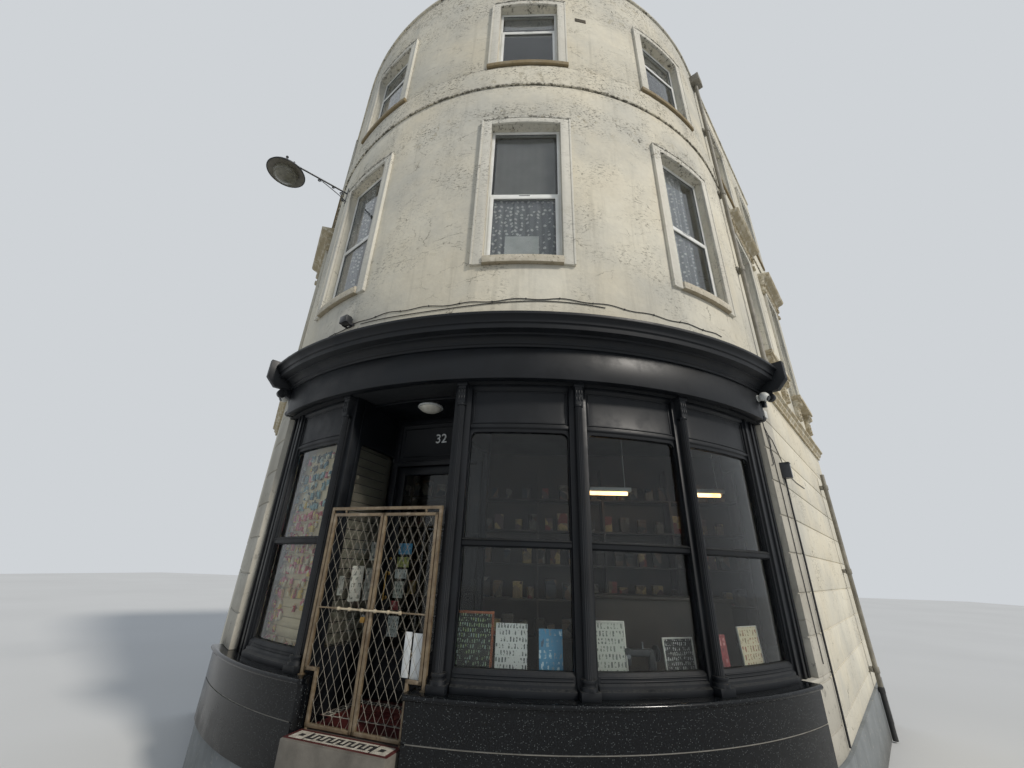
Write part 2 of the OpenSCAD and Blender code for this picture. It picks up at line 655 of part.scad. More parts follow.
// Raised surrounds: a flat band round each opening, on the face of the wall
head_h = 120;
foot1_h = 60;
module bow_surround(z, w, h, foot) {
    e = asin((w / 2 + surround_w) / bow_r);
    difference() {
        ring(bow_r + bed, bow_r + surround_out, z - foot, z + h + head_h, -e, e);
        translate([0, -bow_r, z - foot - eps]) opening(w, h + foot + eps);
    }
}
module flat_surround(z, w, h, foot) difference() {
    box(-w / 2 - surround_w, w / 2 + surround_w, -surround_out, -bed, z - foot, z + h + head_h);
    translate([0, 0, z - foot - eps]) opening(w, h + foot + eps);
}
module at_bow_windows() for (a = win_a) at_angle(a) children();
module at_flank_windows() {
    on_right() for (x = right_win) translate([x, 0, 0]) children();
    on_left() for (x = left_win) translate([x, 0, 0]) children();
}
module at_windows() {
    at_bow_windows() translate([0, -bow_r, 0]) children();
    at_flank_windows() children();
}
module surrounds() color(stucco) {
    at_bow_windows() {
        bow_surround(win1_z, win_w, win1_h, foot1_h);
        bow_surround(win2_z, win_w, win2_h, -bed);
    }
    at_flank_windows() {
        flat_surround(win1_z, win_w, win1_h, foot1_h);
        flat_surround(win2_z, win_w, win2_h, -bed);
    }
}

// Sills: a deep one in each first-floor opening, a thin one and a wide slab on the second floor
sill_t = 45;
slab_sill_t = 80;
slab_sill_out = surround_out + 18;
deep_sill_out = surround_out + 25;
sill_half = win_w / 2 - 1;
module deep_sill(z) {
    intersection() {
        children();
        box(-sill_half, sill_half, -2 * bow_r, 2 * bow_r, z - foot1_h, z + sill_t);
    }
}
module inner_sill(z, y) translate([0, 0, z]) box(-sill_half, sill_half, y, reveal_d - bed, bed, sill_t);
// A moulded ledge along the street walls, level with the top of the shop's cornice
ledge_z = beam_top + 60;
ledge_out = 110;
ledge_gap = 0.1;
module ledge_2d() polygon([[bed, 0], [35, 0], [35, 40], [70, 75], [70, 110], [ledge_out, 135], [ledge_out, 170],
    [bed, 185]]);
module ledge_run(len) translate([joint, 0, ledge_z]) rotate([90, 0, 90]) linear_extrude(len - joint)
    mirror([1, 0]) ledge_2d();
module ledges() color(stucco) {
    sweep(-left_turn, cornice_lo - ledge_gap) translate([bow_r, ledge_z]) ledge_2d();
    sweep(cornice_hi + ledge_gap, right_turn) translate([bow_r, ledge_z]) ledge_2d();
    on_right() ledge_run(right_len);
    on_left() ledge_run(left_len);
}

// Sill tables on scrolled brackets under the first-floor windows of the street walls
table_h = 80;
table_out = 170;
bracket_t = 130;
module sill_table() {
    half = win_w / 2 + surround_w + 55;
    top = win1_z - foot1_h - bed;
    box(-half, half, -table_out, -bed, top - table_h, top);
    for (s = [-1, 1]) translate([s * (half - 110) - bracket_t / 2, 0, top - table_h + eps]) hood_profile(bracket_t)
        polygon([[-bed, 0], [-140, 0], [-150, -60], [-120, -120], [-80, -160], [-70, -330], [-90, -380],
            [-70, -430], [-bed, -450]]);
}
module sill_tables() color([0.74, 0.62, 0.4]) at_flank_windows() sill_table();

module sills() color([0.72, 0.64, 0.5]) {
    half = win_w / 2 + surround_w + 10;
    e = asin(half / bow_r);
    at_bow_windows() {
        deep_sill(win1_z) ring(bow_r + bed, bow_r + deep_sill_out, win1_z - foot1_h, win1_z + sill_t, -e, e);
        translate([0, -bow_r, 0]) inner_sill(win1_z, -10);
        translate([0, -bow_r, 0]) inner_sill(win2_z, 0);
        ring(bow_r + bed, bow_r + slab_sill_out, win2_z - slab_sill_t, win2_z - bed, -e, e);
    }
    at_flank_windows() {
        box(-sill_half, sill_half, -deep_sill_out, -bed, win1_z - foot1_h, win1_z + sill_t);
        inner_sill(win1_z, -10);
        inner_sill(win2_z, 0);
        box(-half, half, -slab_sill_out, -bed, win2_z - slab_sill_t, win2_z - bed);
    }
}

// A window: an outer frame with a middle rail, and a lower light that opens in a frame of its own
rail_h = 50;
frame_d = 70;
vent_w = 36;
vent_lap = 12;
vent_out = 10;
pane_t = 8;
module sash(h, meet) translate([0, reveal_d, sill_t]) {
    w = sill_half;
    x = w - sash_w;
    top = h - sill_t - 1;
    rail = meet - rail_h / 2;
    difference() {
        box(-w, w, 0, frame_d, bed, top);
        box(-x, x, -eps, frame_d + eps, rail + rail_h, top - sash_w);
        box(-x, x, -eps, frame_d + eps, sash_w, rail);
    }
    difference() {
        box(-x - vent_lap, x + vent_lap, -vent_out, frame_d / 2, sash_w - vent_lap, rail + vent_lap);
        box(-x + vent_w, x - vent_w, -vent_out - eps, frame_d, sash_w + vent_w, rail - vent_w);
    }
}
module sash_panes(h, meet) translate([0, reveal_d + 20, sill_t]) {
    x = sill_half - sash_w;
    box(-x, x, 0, pane_t, meet + rail_h / 2, h - sill_t - 1 - sash_w);
    box(-x + vent_w, x - vent_w, -10, pane_t - 10, sash_w + vent_w, meet - rail_h / 2 - vent_w);
}
module sashes() color(upvc) at_windows() {
    translate([0, 0, win1_z]) sash(win1_h, meet1);
    translate([0, 0, win2_z]) sash(win2_h, meet2);
}
module upper_glass() color(clear_glass) at_windows() {
    translate([0, 0, win1_z]) sash_panes(win1_h, meet1);
    translate([0, 0, win2_z]) sash_panes(win2_h, meet2);
}

// Hoods on brackets over the first-floor windows of the street walls
frieze_h = 130;
hood_over = 120;
module hood_profile(len) rotate([90, 0, 90]) linear_extrude(len) children();
module hood() {
    w = win_w + 2 * surround_w;
    translate([0, 0, win1_z + win1_h + head_h]) {
        box(-w / 2, w / 2, -60, -bed, bed, frieze_h - bed);
        translate([-w / 2 - hood_over, 0, frieze_h]) hood_profile(w + 2 * hood_over)
            polygon([[-bed, 0], [-90, 0], [-110, 30], [-110, 50], [-200, 80], [-230, 120], [-230, 150], [-bed, 210]]);
        for (s = [-1, 1]) translate([s * (w / 2 + 60) - 50, 0, frieze_h - bed]) hood_profile(100)
            polygon([[-bed, 0], [-90, 0], [-60, -60], [-60, -250], [-40, -330], [-bed, -330]]);
    }
}
module hoods() color([0.74, 0.62, 0.4]) at_flank_windows() hood();

module coping() color(stucco) {
    ring(in_r - 25, bow_r + 35, wall_top + bed, top_z, -left_turn, right_turn);
    on_right() box(joint, right_len, -35, wall_t + 25, wall_top + bed, top_z);
    on_left() box(joint, left_len, -35, wall_t + 25, wall_top + bed, top_z);
}

// Rainwater pipes on the right street wall: one from the roof, one at the foot of the wall
pipe_d = 70;
pipe_x = 260;
pipe_y = -75;
foot_pipe_y = -90;
foot_pipe_x = 3800;
pipe_foot = cornice_top + 165;
upper_pipe_h = wall_top - pipe_foot - 400;
foot_pipe_h = 4200;
module pipe(h, clips, back) {
    cylinder(h = h, d = pipe_d);
    for (z = clips) translate([0, 0, z]) {
        cylinder(h = 90, d = pipe_d + 24);
        box(-90, 90, 40, back, 15, 75);
    }
}
module rainwater_pipes() color(stucco) on_right() {
    translate([pipe_x, pipe_y, pipe_foot]) {
        pipe(upper_pipe_h, [300 : 1800 : upper_pipe_h - 200], -pipe_y - bed);
        translate([0, 0, upper_pipe_h - 30]) box(-130, 130, -110, -pipe_y - bed, 0, 220);
    }
    translate([foot_pipe_x, foot_pipe_y, 20])
        pipe(foot_pipe_h, [band_h + 200 : 1500 : foot_pipe_h - 200], -foot_pipe_y - bed);
}

lamp_a = -46.5;
lamp_h = 3600;
lamp_out = 1000;
lamp_z = first_z + lamp_h;
module wall_lamp() color(black) at_angle(lamp_a, bow_r) {
    box(-50, 50, -20, -bed, lamp_z - 180, lamp_z + 180);
    translate([0, -10, lamp_z + 60]) rotate([90, 0, 0]) cylinder(h = lamp_out - 10, d = 34, $fn = 24);
    translate([0, -15, lamp_z - 140]) rotate([60, 0, 0]) cylinder(h = 420, d = 24, $fn = 24);
    translate([0, -lamp_out, lamp_z - 380]) rotate_extrude() polygon([[0, 460], [35, 460], [35, 330], [75, 300],
        [150, 260], [295, 200], [300, 170], [282, 165], [225, 60], [138, 15], [0, 0]]);
}

// A round camera on a stalk that stands out from the wall
module camera(out) {
    translate([0, -bed, 0]) rotate([90, 0, 0]) cylinder(h = out, d = 44, $fn = 32);
    translate([0, -out, 0]) sphere(r = 52, $fn = 48);
}
floodlight_z = cornice_top + 345;
light_box_z = cap_top + 2100;
light_box_h = 200;
module security_fittings() color(upvc) {
    at_angle(fascia_hi - 0.5, bow_r + fascia_out) translate([0, 0, soffit_z + 270]) camera(75);
    at_angle(front_lo - 2, bow_r) translate([0, 0, soffit_z + 330]) camera(110);
    at_angle(front_hi + 0.8, bow_r) box(-45, 45, -70, -bed, soffit_z + 90, soffit_z + 190);
    at_angle(right_turn - 0.9, bow_r) box(-60, 60, -110, -bed, light_box_z, light_box_z + light_box_h);
    at_angle(-28.5, bow_r) box(-70, 70, -140, -bed, floodlight_z, floodlight_z + 120);
}

footings();
ground_slab();
shop_floor();
lobby_floor();
threshold();
plinths();
piers();
street_walls_ground();
party_walls();
beam();
columns();
end_posts();
shop_windows();
shop_glass();
display_shelves();
lobby_screens();
slatwall();
lobby_ceiling();
lobby_light();
door_frame();
shop_door();
door_glass();
door_handle();
gate_frame();
gate_leaf_left();
gate_leaf_right();
fascia();
cornice();
consoles();
upper_floors();
bow_wall_first();
street_walls_first();
bow_wall_second();
street_walls_second();
string_course();
surrounds();
ledges();
sill_tables();
sills();
sashes();
upper_glass();
hoods();
roof();
coping();
rainwater_pipes();
wall_lamp();
security_fittings();
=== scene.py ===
import json
import math
import random

import bmesh
import bpy
from mathutils import Matrix, Vector, noise

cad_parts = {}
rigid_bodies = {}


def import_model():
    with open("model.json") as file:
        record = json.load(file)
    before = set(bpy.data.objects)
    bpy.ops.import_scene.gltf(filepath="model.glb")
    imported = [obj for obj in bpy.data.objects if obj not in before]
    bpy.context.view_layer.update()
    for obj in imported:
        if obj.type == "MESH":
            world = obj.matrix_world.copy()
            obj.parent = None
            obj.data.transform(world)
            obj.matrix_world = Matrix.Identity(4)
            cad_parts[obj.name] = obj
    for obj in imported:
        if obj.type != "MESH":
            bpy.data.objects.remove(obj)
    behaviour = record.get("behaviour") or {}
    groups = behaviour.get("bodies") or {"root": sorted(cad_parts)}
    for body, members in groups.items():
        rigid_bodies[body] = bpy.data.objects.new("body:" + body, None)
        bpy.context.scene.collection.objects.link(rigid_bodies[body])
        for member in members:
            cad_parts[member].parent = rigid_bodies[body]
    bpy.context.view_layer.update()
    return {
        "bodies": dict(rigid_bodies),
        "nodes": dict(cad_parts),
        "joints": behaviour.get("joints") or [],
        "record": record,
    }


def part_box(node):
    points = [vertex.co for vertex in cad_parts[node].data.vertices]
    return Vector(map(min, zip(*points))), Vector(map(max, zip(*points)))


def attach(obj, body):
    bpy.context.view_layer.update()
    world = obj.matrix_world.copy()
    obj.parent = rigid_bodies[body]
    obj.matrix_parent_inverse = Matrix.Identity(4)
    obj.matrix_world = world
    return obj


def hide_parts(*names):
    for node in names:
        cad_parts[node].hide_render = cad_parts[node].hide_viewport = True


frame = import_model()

bl_info = {
    "name": "Corner shop building",
    "version": (1, 0, 0),
    "blender": (4, 5, 0),
    "location": "3D View > Sidebar > Corner Shop",
    "description": "Dresses the corner shop building: masonry, shopfront, entrance, windows and fittings",
    "category": "Object",
}

# Sizes in metres, in the part's frame
RADIUS = 4.5
RIGHT_TURN = math.radians(52)
LEFT_TURN = math.radians(55)
RIGHT_LEN = 5.0
LEFT_LEN = 2.8
FRONT_R = 4.4
FLOOR_Z = 1.03
CAP_Z = 1.4
SOFFIT_Z = 4.12
STRING_Z = 9.215
STRING_TOP = 9.695
ROOF_Z = 11.9
WALL_TOP = 12.64
TOP_Z = 12.7
GLASS_LO = 1.565
GLASS_HI = 3.6
DOOR_ANGLE = math.radians(-15.7)
COLUMN_DEG = (-25.2, -6.2, 9.4, 25.0)
END_DEG = (-40.2, 41.2)
LOBBY_HALF = 0.62
STEP_HALF = 0.5
SCREEN_V = 4.2727
LOBBY_BACK = 3.45
DOOR_V = 3.55
DOOR_FACE_V = 3.5
DOOR_HALF = 0.549
DOOR_TOP = 3.468
GATE_V = 4.43
WIN_DEG = (-35, 1.5, 35)
RIGHT_WIN = (1.3, 3.7)
LEFT_WIN = (1.3,)
WIN_W = 1.0
WIN1_Z = 5.74
WIN1_H = 2.54
WIN2_Z = 9.79
WIN2_H = 1.74
MEET1 = 1.175
MEET2 = 1.11
SILL_T = 0.045
SASH_W = 0.045
RAIL_H = 0.05
VENT_W = 0.036
SURROUND_W = 0.145
SURROUND_OUT = 0.04
HEAD_H = 0.12
FOOT_H = 0.06
REVEAL = 0.12
BED = 0.0003
PARTY_T = 0.23
LAP = 0.09
PLINTH_OUT = 0.08
JOINT_Z = FLOOR_Z + 0.06
GATE_BAR = 0.028
GATE_LO = 1.045
GATE_HI = 2.79
GATE_STEP_Z = 1.44
GATE_MIDDLE = 0.005
GATE_LOW_X = 0.482
GATE_HIGH_X = 0.6024
GATE_PIVOT = 0.468
GATE_LOCK_Z = 1.94
DIAMOND = (0.088, 0.168)
SHELF_LEVELS = (1.5, 1.95, 2.4, 2.85, 3.3)
STRIP_ROWS = 12
STRIP_V = 4.622
BOARD_FACE = -0.71
LAMP_OUT = 1.0
FOOT_PIPE_X = 3.8
KEY_PATTERN = ("xxx.", "x.x.", "x.x.", "x.xx")


def linear(hex_colour, alpha=1.0):
    """Turns an sRGB hex colour to the linear values that Blender's sockets take."""
    parts = [int(hex_colour[i:i + 2], 16) / 255 for i in (1, 3, 5)]
    return tuple(v / 12.92 if v <= 0.04045 else ((v + 0.055) / 1.055) ** 2.4 for v in parts) + (alpha,)


def add(tree, kind, settings=None):
    """Adds a node. A setting goes to its property or input, a socket is linked, a hex colour made linear."""
    made = tree.nodes.new(kind)
    for name, value in (settings or {}).items():
        if isinstance(name, str) and hasattr(made, name):
            setattr(made, name, value)
        elif hasattr(value, "is_output"):
            tree.links.new(value, made.inputs[name])
        else:
            is_colour = isinstance(value, str) and value.startswith("#")
            made.inputs[name].default_value = linear(value) if is_colour else value
    return made


class Finish:
    """A material in the making: masks come from patterns on Object coordinates, and coats of colour are
    laid over each other through them. The scale of a pattern is in features to the metre."""

    def __init__(self, name, colour, roughness, **fixed):
        self.material = bpy.data.materials.new(name)
        self.material.use_nodes = True
        self.tree = self.material.node_tree
        self.shader = self.tree.nodes["Principled BSDF"]
        self.shader.inputs["Base Color"].default_value = linear(colour)
        self.shader.inputs["Roughness"].default_value = roughness
        for key, value in fixed.items():
            self.shader.inputs[key.replace("_", " ")].default_value = value
        self.coords = self.add("ShaderNodeTexCoord").outputs["Object"]
        self.colour = colour

    def add(self, kind, settings=None):
        """Adds a node to the material."""
        return add(self.tree, kind, settings)

    def stretched(self, across, up):
        """Object coordinates with one scale across the wall and another up it."""
        return self.add("ShaderNodeMapping", {"Scale": (across, across, up),
                                              "Vector": self.coords}).outputs[0]

    def spots(self, scale, low, high, detail=4.0, rough=0.6, coords=None):
        """A soft mask from noise: 0 below low, 1 above high."""
        return self.between(self.grain(scale, detail, rough, coords), low, high)

    def grain(self, scale, detail, rough=0.5, coords=None):
        """An even grain from noise, about a half."""
        return self.add("ShaderNodeTexNoise", {"Scale": scale, "Detail": detail, "Roughness": rough,
                                               "Vector": coords or self.coords}).outputs[0]

    def between(self, value, low, high, to_low=0.0, to_high=1.0, smooth=False):
        """A value that runs evenly from one end to another where its source runs from low to high."""
        return self.add("ShaderNodeMapRange", {
            "From Min": low, "From Max": high, "To Min": to_low, "To Max": to_high, "Value": value,
            "interpolation_type": "SMOOTHSTEP" if smooth else "LINEAR"}).outputs[0]

    def height(self, low, high):
        """A mask that is 0 below one height and 1 above another, in metres."""
        place = self.add("ShaderNodeSeparateXYZ", {"Vector": self.coords})
        return self.between(place.outputs["Z"], low, high, smooth=True)

    def upward(self):
        """How far the surface faces up: 1 on top of a ledge, -1 under it."""
        normal = self.add("ShaderNodeNewGeometry").outputs["Normal"]
        return self.add("ShaderNodeSeparateXYZ", {"Vector": normal}).outputs["Z"]

    def joined(self, operation, values, clamp=False):
        """Masks and numbers taken together by one operation."""
        whole = values[0]
        for value in values[1:]:
            whole = self.add("ShaderNodeMath", {"operation": operation, "use_clamp": clamp, 0: whole,
                                                1: value}).outputs[0]
        return whole

    def both(self, *values):
        """Where all masks meet, as strong as their shares."""
        return self.joined("MULTIPLY", values)

    def either(self, *values):
        """Where any of the masks is."""
        return self.joined("MAXIMUM", values)

    def cracks(self, scale, width, wander=0.35, coords=None):
        """Thin crooked lines between cells, 1 on a line: the cracks that old render opens into."""
        coords = coords or self.coords
        turned = self.add("ShaderNodeTexNoise", {"Scale": scale * 1.7, "Detail": 5.0, "Roughness": 0.7,
                                                 "Vector": coords}).outputs["Color"]
        centred = self.add("ShaderNodeVectorMath", {"operation": "SUBTRACT", 0: turned, 1: (0.5, 0.5, 0.5)})
        pushed = self.add("ShaderNodeVectorMath", {"operation": "SCALE", 0: centred.outputs[0],
                                                   "Scale": wander})
        place = self.add("ShaderNodeVectorMath", {"operation": "ADD", 0: coords, 1: pushed.outputs[0]})
        cells = self.add("ShaderNodeTexVoronoi", {"feature": "DISTANCE_TO_EDGE", "Scale": scale,
                                                  "Vector": place.outputs[0]})
        return self.between(cells.outputs["Distance"], width, 0.0)

    def blend(self, first, second, *masks):
        """One colour over another, each a socket or a hex colour, where all masks meet."""
        return self.add("ShaderNodeMix", {"data_type": "RGBA", 0: self.both(*masks), 6: first,
                                          7: second}).outputs[2]

    def coat(self, colour, *masks):
        """Lays a colour over what is there, where all masks meet."""
        self.colour = self.blend(self.colour, colour, *masks)

    def rough(self, value):
        """Gives the surface a roughness that varies."""
        self.tree.links.new(value, self.shader.inputs["Roughness"])

    def relief(self, height, distance, strength=1.0):
        """Gives the surface relief, with its depth in metres."""
        made = self.add("ShaderNodeBump", {"Distance": distance, "Strength": strength, "Height": height})
        self.tree.links.new(made.outputs[0], self.shader.inputs["Normal"])

    def done(self, socket="Base Color"):
        """Joins the coats to the shader."""
        self.tree.links.new(self.colour, self.shader.inputs[socket])
        return self.material


# Every material, by the record's slot or by its own use
MADE = {}


def paint_material():
    """Oil paint on timber, brushed: near black with a blue cast, dull patches, dusty ledges, brush marks."""
    paint = Finish("black_oil_paint", "#0B0E12", 0.5, Specular_IOR_Level=0.3, Coat_Weight=0.04,
                   Coat_Roughness=0.25)
    patches = paint.spots(2.2, 0.42, 0.68, 6.0, 0.65)
    paint.colour = "#090C10"
    paint.coat("#12161B", patches)
    ledge = paint.between(paint.upward(), 0.55, 0.95)
    dust = paint.both(ledge, paint.spots(45.0, 0.35, 0.7), 0.6)
    paint.coat("#4A4944", dust)
    paint.coat("#2A2D30", paint.spots(9.0, 0.66, 0.74, 8.0, 0.75), 0.35)
    dull = paint.between(patches, 0.0, 1.0, 0.42, 0.66)
    paint.rough(paint.joined("ADD", (dull, paint.both(dust, 0.4)), True))
    paint.relief(paint.grain(5.0, 3.0, coords=paint.stretched(60.0, 7.0)), 0.0006, 0.5)
    return paint.done()


def stucco_material(name, pale, warm, grey, wet_levels, crack_share, tone, lichen_and_shade_levels):
    """Painted lime stucco, trowelled: soft patches of cream and grey, chips, fine cracks that mostly run
    level, and dark lichen specks where water stands: round the sill band, coping and window heads. A dark
    speckled line at each given level is lichen along upper edges and painted shade under the sill band and
    hoods."""
    wall = Finish(name, pale, 0.88, Specular_IOR_Level=0.25)
    wall.coat(warm, wall.spots(0.7, 0.38, 0.66, 5.0))
    wall.coat(grey, wall.spots(0.5, 0.42, 0.64, 7.0, 0.62), 0.85 * tone)
    wall.coat("#8F8B80", wall.spots(14.0, 0.3, 0.75, 6.0, 0.7), 0.2)
    wall.coat("#7C776A", wall.spots(1.0, 0.56, 0.8, 4.0, coords=wall.stretched(9.0, 0.55)), 0.3 * tone)
    lines = wall.either(wall.cracks(1.4, 0.007), wall.cracks(1.7, 0.008, 0.22, wall.stretched(0.42, 1.2)))
    some = wall.spots(0.8, 0.44, 0.56, 3.0)
    line = wall.both(lines, some, wall.spots(5.0, 0.47, 0.56, 4.0), crack_share)
    wall.coat("#4F4A3D", line)
    # Dark speckled line at the given levels: lichen on upper edges, painted shade under the sill band and
    # hoods.
    edge = 0.0
    for level in lichen_and_shade_levels:
        near = wall.both(wall.height(level - 0.035, level - 0.005), wall.height(level + 0.035, level + 0.005))
        edge = wall.either(edge, near)
    wall.coat("#3B372D", edge, wall.spots(17.0, 0.47, 0.53, 7.0, 0.7), 0.8)
    wet = 0.0
    for low, high in wet_levels:
        wet = wall.either(wet, wall.both(wall.height(low - 0.3, low), wall.height(high + 0.3, high)))
    share = wall.joined("ADD", (wall.both(wet, 0.7), wall.both(some, 0.25)), True)
    chips = wall.both(wall.spots(6.5, 0.6, 0.615, 7.0, 0.68), share)
    wall.coat("#A9A18B", chips, 0.7)
    specks = wall.spots(34.0, 0.545, 0.6, 6.0, 0.72, wall.stretched(0.6, 1.3))
    clumps = wall.both(wet, wall.spots(2.6, 0.36, 0.56, 5.0))
    lichen = wall.both(specks, wall.either(clumps, wall.both(wall.spots(1.3, 0.5, 0.68, 3.0), 0.75)))
    wall.coat("#36332B", lichen, 0.9)
    deep = wall.both(wall.either(line, wall.either(lichen, chips)), 0.35)
    wall.relief(wall.joined("SUBTRACT", (wall.grain(6.0, 8.0, 0.62), deep)), 0.012, 0.6)
    return wall.done()


def flaking_material():
    """Masonry paint that flakes off stone: pale grey with darker stone in small scabs, mostly low down."""
    pier = Finish("flaking_masonry_paint", "#A8A498", 0.85, Specular_IOR_Level=0.3)
    pier.colour = "#B4B0A4"
    pier.coat("#9A9589", pier.spots(1.1, 0.35, 0.7, 6.0))
    low = pier.joined("ADD", (pier.both(pier.height(3.2, 1.0), 0.75), 0.25))
    bare = pier.both(pier.spots(11.0, 0.585, 0.615, 9.0, 0.72),
                     pier.both(low, pier.spots(1.9, 0.4, 0.6, 3.0)))
    pier.coat("#5B5B58", bare)
    pier.coat("#5E5A50", pier.cracks(1.3, 0.007), 0.4)
    pier.coat("#6D6A62", pier.spots(40.0, 0.55, 0.8), 0.25)
    pier.relief(pier.joined("SUBTRACT", (pier.grain(18.0, 6.0), bare)), 0.004, 0.6)
    return pier.done()


def base_material():
    """Bitumen-grey masonry paint on render, scuffed and splashed along the pavement."""
    base = Finish("grey_masonry_paint", "#74787A", 0.7, Specular_IOR_Level=0.35)
    base.colour = "#7C8081"
    base.coat("#636767", base.spots(1.6, 0.35, 0.68, 7.0))
    base.coat("#4E4B45", base.height(0.35, 0.0), 0.55)
    base.coat("#A19C90", base.spots(17.0, 0.6, 0.66, 6.0), 0.5)
    base.relief(base.grain(30.0, 5.0), 0.003, 0.5)
    return base.done()


def granite_material():
    """Polished black granite: fine grey crystals in black and a few larger pale ones, under a wet-looking
    polish that is dull with dust near the ground."""
    stone = Finish("polished_black_granite", "#08090B", 0.2, Specular_IOR_Level=0.27)
    stone.colour = "#07080A"
    stone.coat("#15191C", stone.spots(130.0, 0.5, 0.64, 3.0))
    crystals = stone.add("ShaderNodeTexVoronoi", {"Scale": 96.0, "Vector": stone.coords}).outputs
    chance = stone.add("ShaderNodeSeparateColor", {"Color": crystals["Color"]}).outputs[0]
    near = stone.between(crystals["Distance"], 0.34, 0.22)
    stone.coat("#5F6463", near, stone.between(chance, 0.72, 0.77), 0.7)
    dirt = stone.both(stone.height(1.15, 0.72), stone.spots(3.0, 0.3, 0.8, 6.0))
    stone.coat("#4A4740", dirt, 0.12)
    smear = stone.between(stone.spots(2.4, 0.3, 0.8, 6.0), 0.0, 1.0, 0.1, 0.3)
    stone.rough(stone.joined("ADD", (smear, stone.both(dirt, 0.3)), True))
    return stone.done()


def plain_material(name, first, second, roughness, scale, depth, fine, **fixed):
    """A material of two close tones in soft patches, with a fine grain in its gloss and relief."""
    made = Finish(name, first, roughness, **fixed)
    made.coat(second, made.spots(scale, 0.35, 0.7, 6.0))
    grain = made.grain(fine, 4.0)
    made.rough(made.between(grain, 0.0, 1.0, max(0.03, roughness - 0.1), min(1.0, roughness + 0.1)))
    made.relief(grain, depth, 0.5)
    return made.done()


def weathered_and_shaded_material(name, paint, under, dark, upper=None):
    """Old paint on carved stone, worn to buff stone on tops and edges, black where rain never washes, with
    painted shade: faces that look down take the darker buff colour.
    """
    stone = Finish(name, paint, 0.85, Specular_IOR_Level=0.3)
    worn = stone.spots(7.0, 0.42, 0.52, 8.0, 0.7)
    if upper:
        storey = stone.height(7.0, 8.0)
        worn = stone.both(worn, stone.joined("ADD", (stone.both(storey, 0.75), 0.25)))
        stone.coat(upper, storey)
    stone.coat(under, worn)
    stone.coat(dark, stone.spots(30.0, 0.56, 0.64, 6.0, 0.7), 0.65)
    # Painted shade: faces that look down are darkened to the buff under colour.
    stone.coat(under, stone.between(stone.upward(), -0.2, -0.9), 0.5)
    pitted = stone.joined("SUBTRACT", (stone.grain(16.0, 9.0, 0.7), stone.both(worn, 0.3)))
    stone.relief(pitted, 0.008, 0.8)
    return stone.done()


def glass_material(name, tint, roughness, share, index):
    """Float glass, polished, a little green, with a film of dust that dulls it in patches."""
    glass = Finish(name, tint, roughness, Transmission_Weight=1.0, IOR=index)
    glass.coat("#8E9896", glass.spots(1.8, 0.35, 0.75, 7.0), share)
    return glass.done()


def lace_material():
    """Net curtain: white polyester with a floral figure that is closer woven than its ground."""
    net = Finish("net_curtain", "#D9DAD6", 0.9, Sheen_Weight=0.3)
    flowers = net.add("ShaderNodeTexVoronoi", {"Scale": 14.0, "Randomness": 0.55, "Vector": net.coords})
    petals = net.between(flowers.outputs[0], 0.25, 0.33)
    net.colour = "#E6E6E4"
    net.coat("#8B8D92", petals)
    net.coat("#7F8584", net.spots(1.0, 0.3, 0.75, 2.0, coords=net.stretched(26.0, 3.0)), 0.35)
    net.relief(petals, 0.001, 0.4)
    return net.done()


def tile_material():
    """Quarry tile, pressed and fired: deep red, paler where people step, each tile a little different."""
    tile = Finish("red_quarry_tile", "#5A2320", 0.42)
    cells = tile.add("ShaderNodeTexVoronoi", {"Scale": 7.0, "Randomness": 0.3, "Vector": tile.coords})
    tone = tile.add("ShaderNodeSeparateColor", {"Color": cells.outputs["Color"]}).outputs[0]
    tile.colour = "#521F1D"
    tile.coat("#6B2D27", tone)
    tile.coat("#7D5349", tile.spots(4.0, 0.45, 0.75, 6.0), 0.45)
    tile.relief(tile.grain(60.0, 3.0), 0.0008, 0.5)
    return tile.done()


def bronze_material():
    """Bronze-coloured spray paint on mild steel, rubbed and rusty: beige highlights, brown in the corners."""
    steel = Finish("bronze_painted_steel", "#6F6049", 0.5, Metallic=0.15)
    steel.colour = "#7B6C55"
    steel.coat("#594A38", steel.spots(12.0, 0.38, 0.66, 7.0))
    rust = steel.spots(38.0, 0.6, 0.7, 5.0)
    steel.coat("#3D2F22", rust, 0.6)
    steel.coat("#A99B85", steel.spots(6.0, 0.54, 0.68, 4.0), 0.6)
    steel.rough(steel.between(rust, 0.0, 1.0, 0.34, 0.7))
    steel.relief(rust, 0.0006, 0.4)
    return steel.done()


def printed_material(name, ground, ink, accent, pitch):
    """Printed card, matt: rows of plain blocks in place of pictures and words, on a pale or a dark ground."""
    card = Finish(name, ground, 0.55)
    turned = card.add("ShaderNodeMapping", {"Rotation": (-math.pi / 2, 0, 0),
                                            "Vector": card.coords}).outputs[0]
    rows = card.add("ShaderNodeTexBrick", {
        "Color1": ink, "Color2": accent, "Mortar": ground, "Scale": 1.0, "Mortar Size": pitch * 0.24,
        "Brick Width": pitch * 0.9, "Row Height": pitch * 1.7, "Vector": turned})
    card.coat(rows.outputs["Color"], card.spots(30.0, 0.46, 0.52, 2.0))
    card.coat("#8C8A82", card.spots(5.0, 0.4, 0.8), 0.2)
    return card.done()


def goods_material(name, size, colours):
    """Plain coloured boxes and cards of goods: each little area takes one of a few paint-box colours."""
    goods = Finish(name, colours[0], 0.5)
    cells = goods.add("ShaderNodeTexVoronoi", {"Scale": size, "Vector": goods.coords}).outputs["Color"]
    parts = goods.add("ShaderNodeSeparateColor", {"Color": cells}).outputs
    goods.coat(colours[1], goods.between(parts[0], 0.49, 0.51))
    for part, hue in zip((parts[1], parts[2], parts[0]), colours[2:]):
        goods.coat(hue, goods.between(part, 0.7, 0.72))
    goods.coat("#3A3835", goods.spots(size * 6, 0.45, 0.6), 0.4)
    return goods.done()


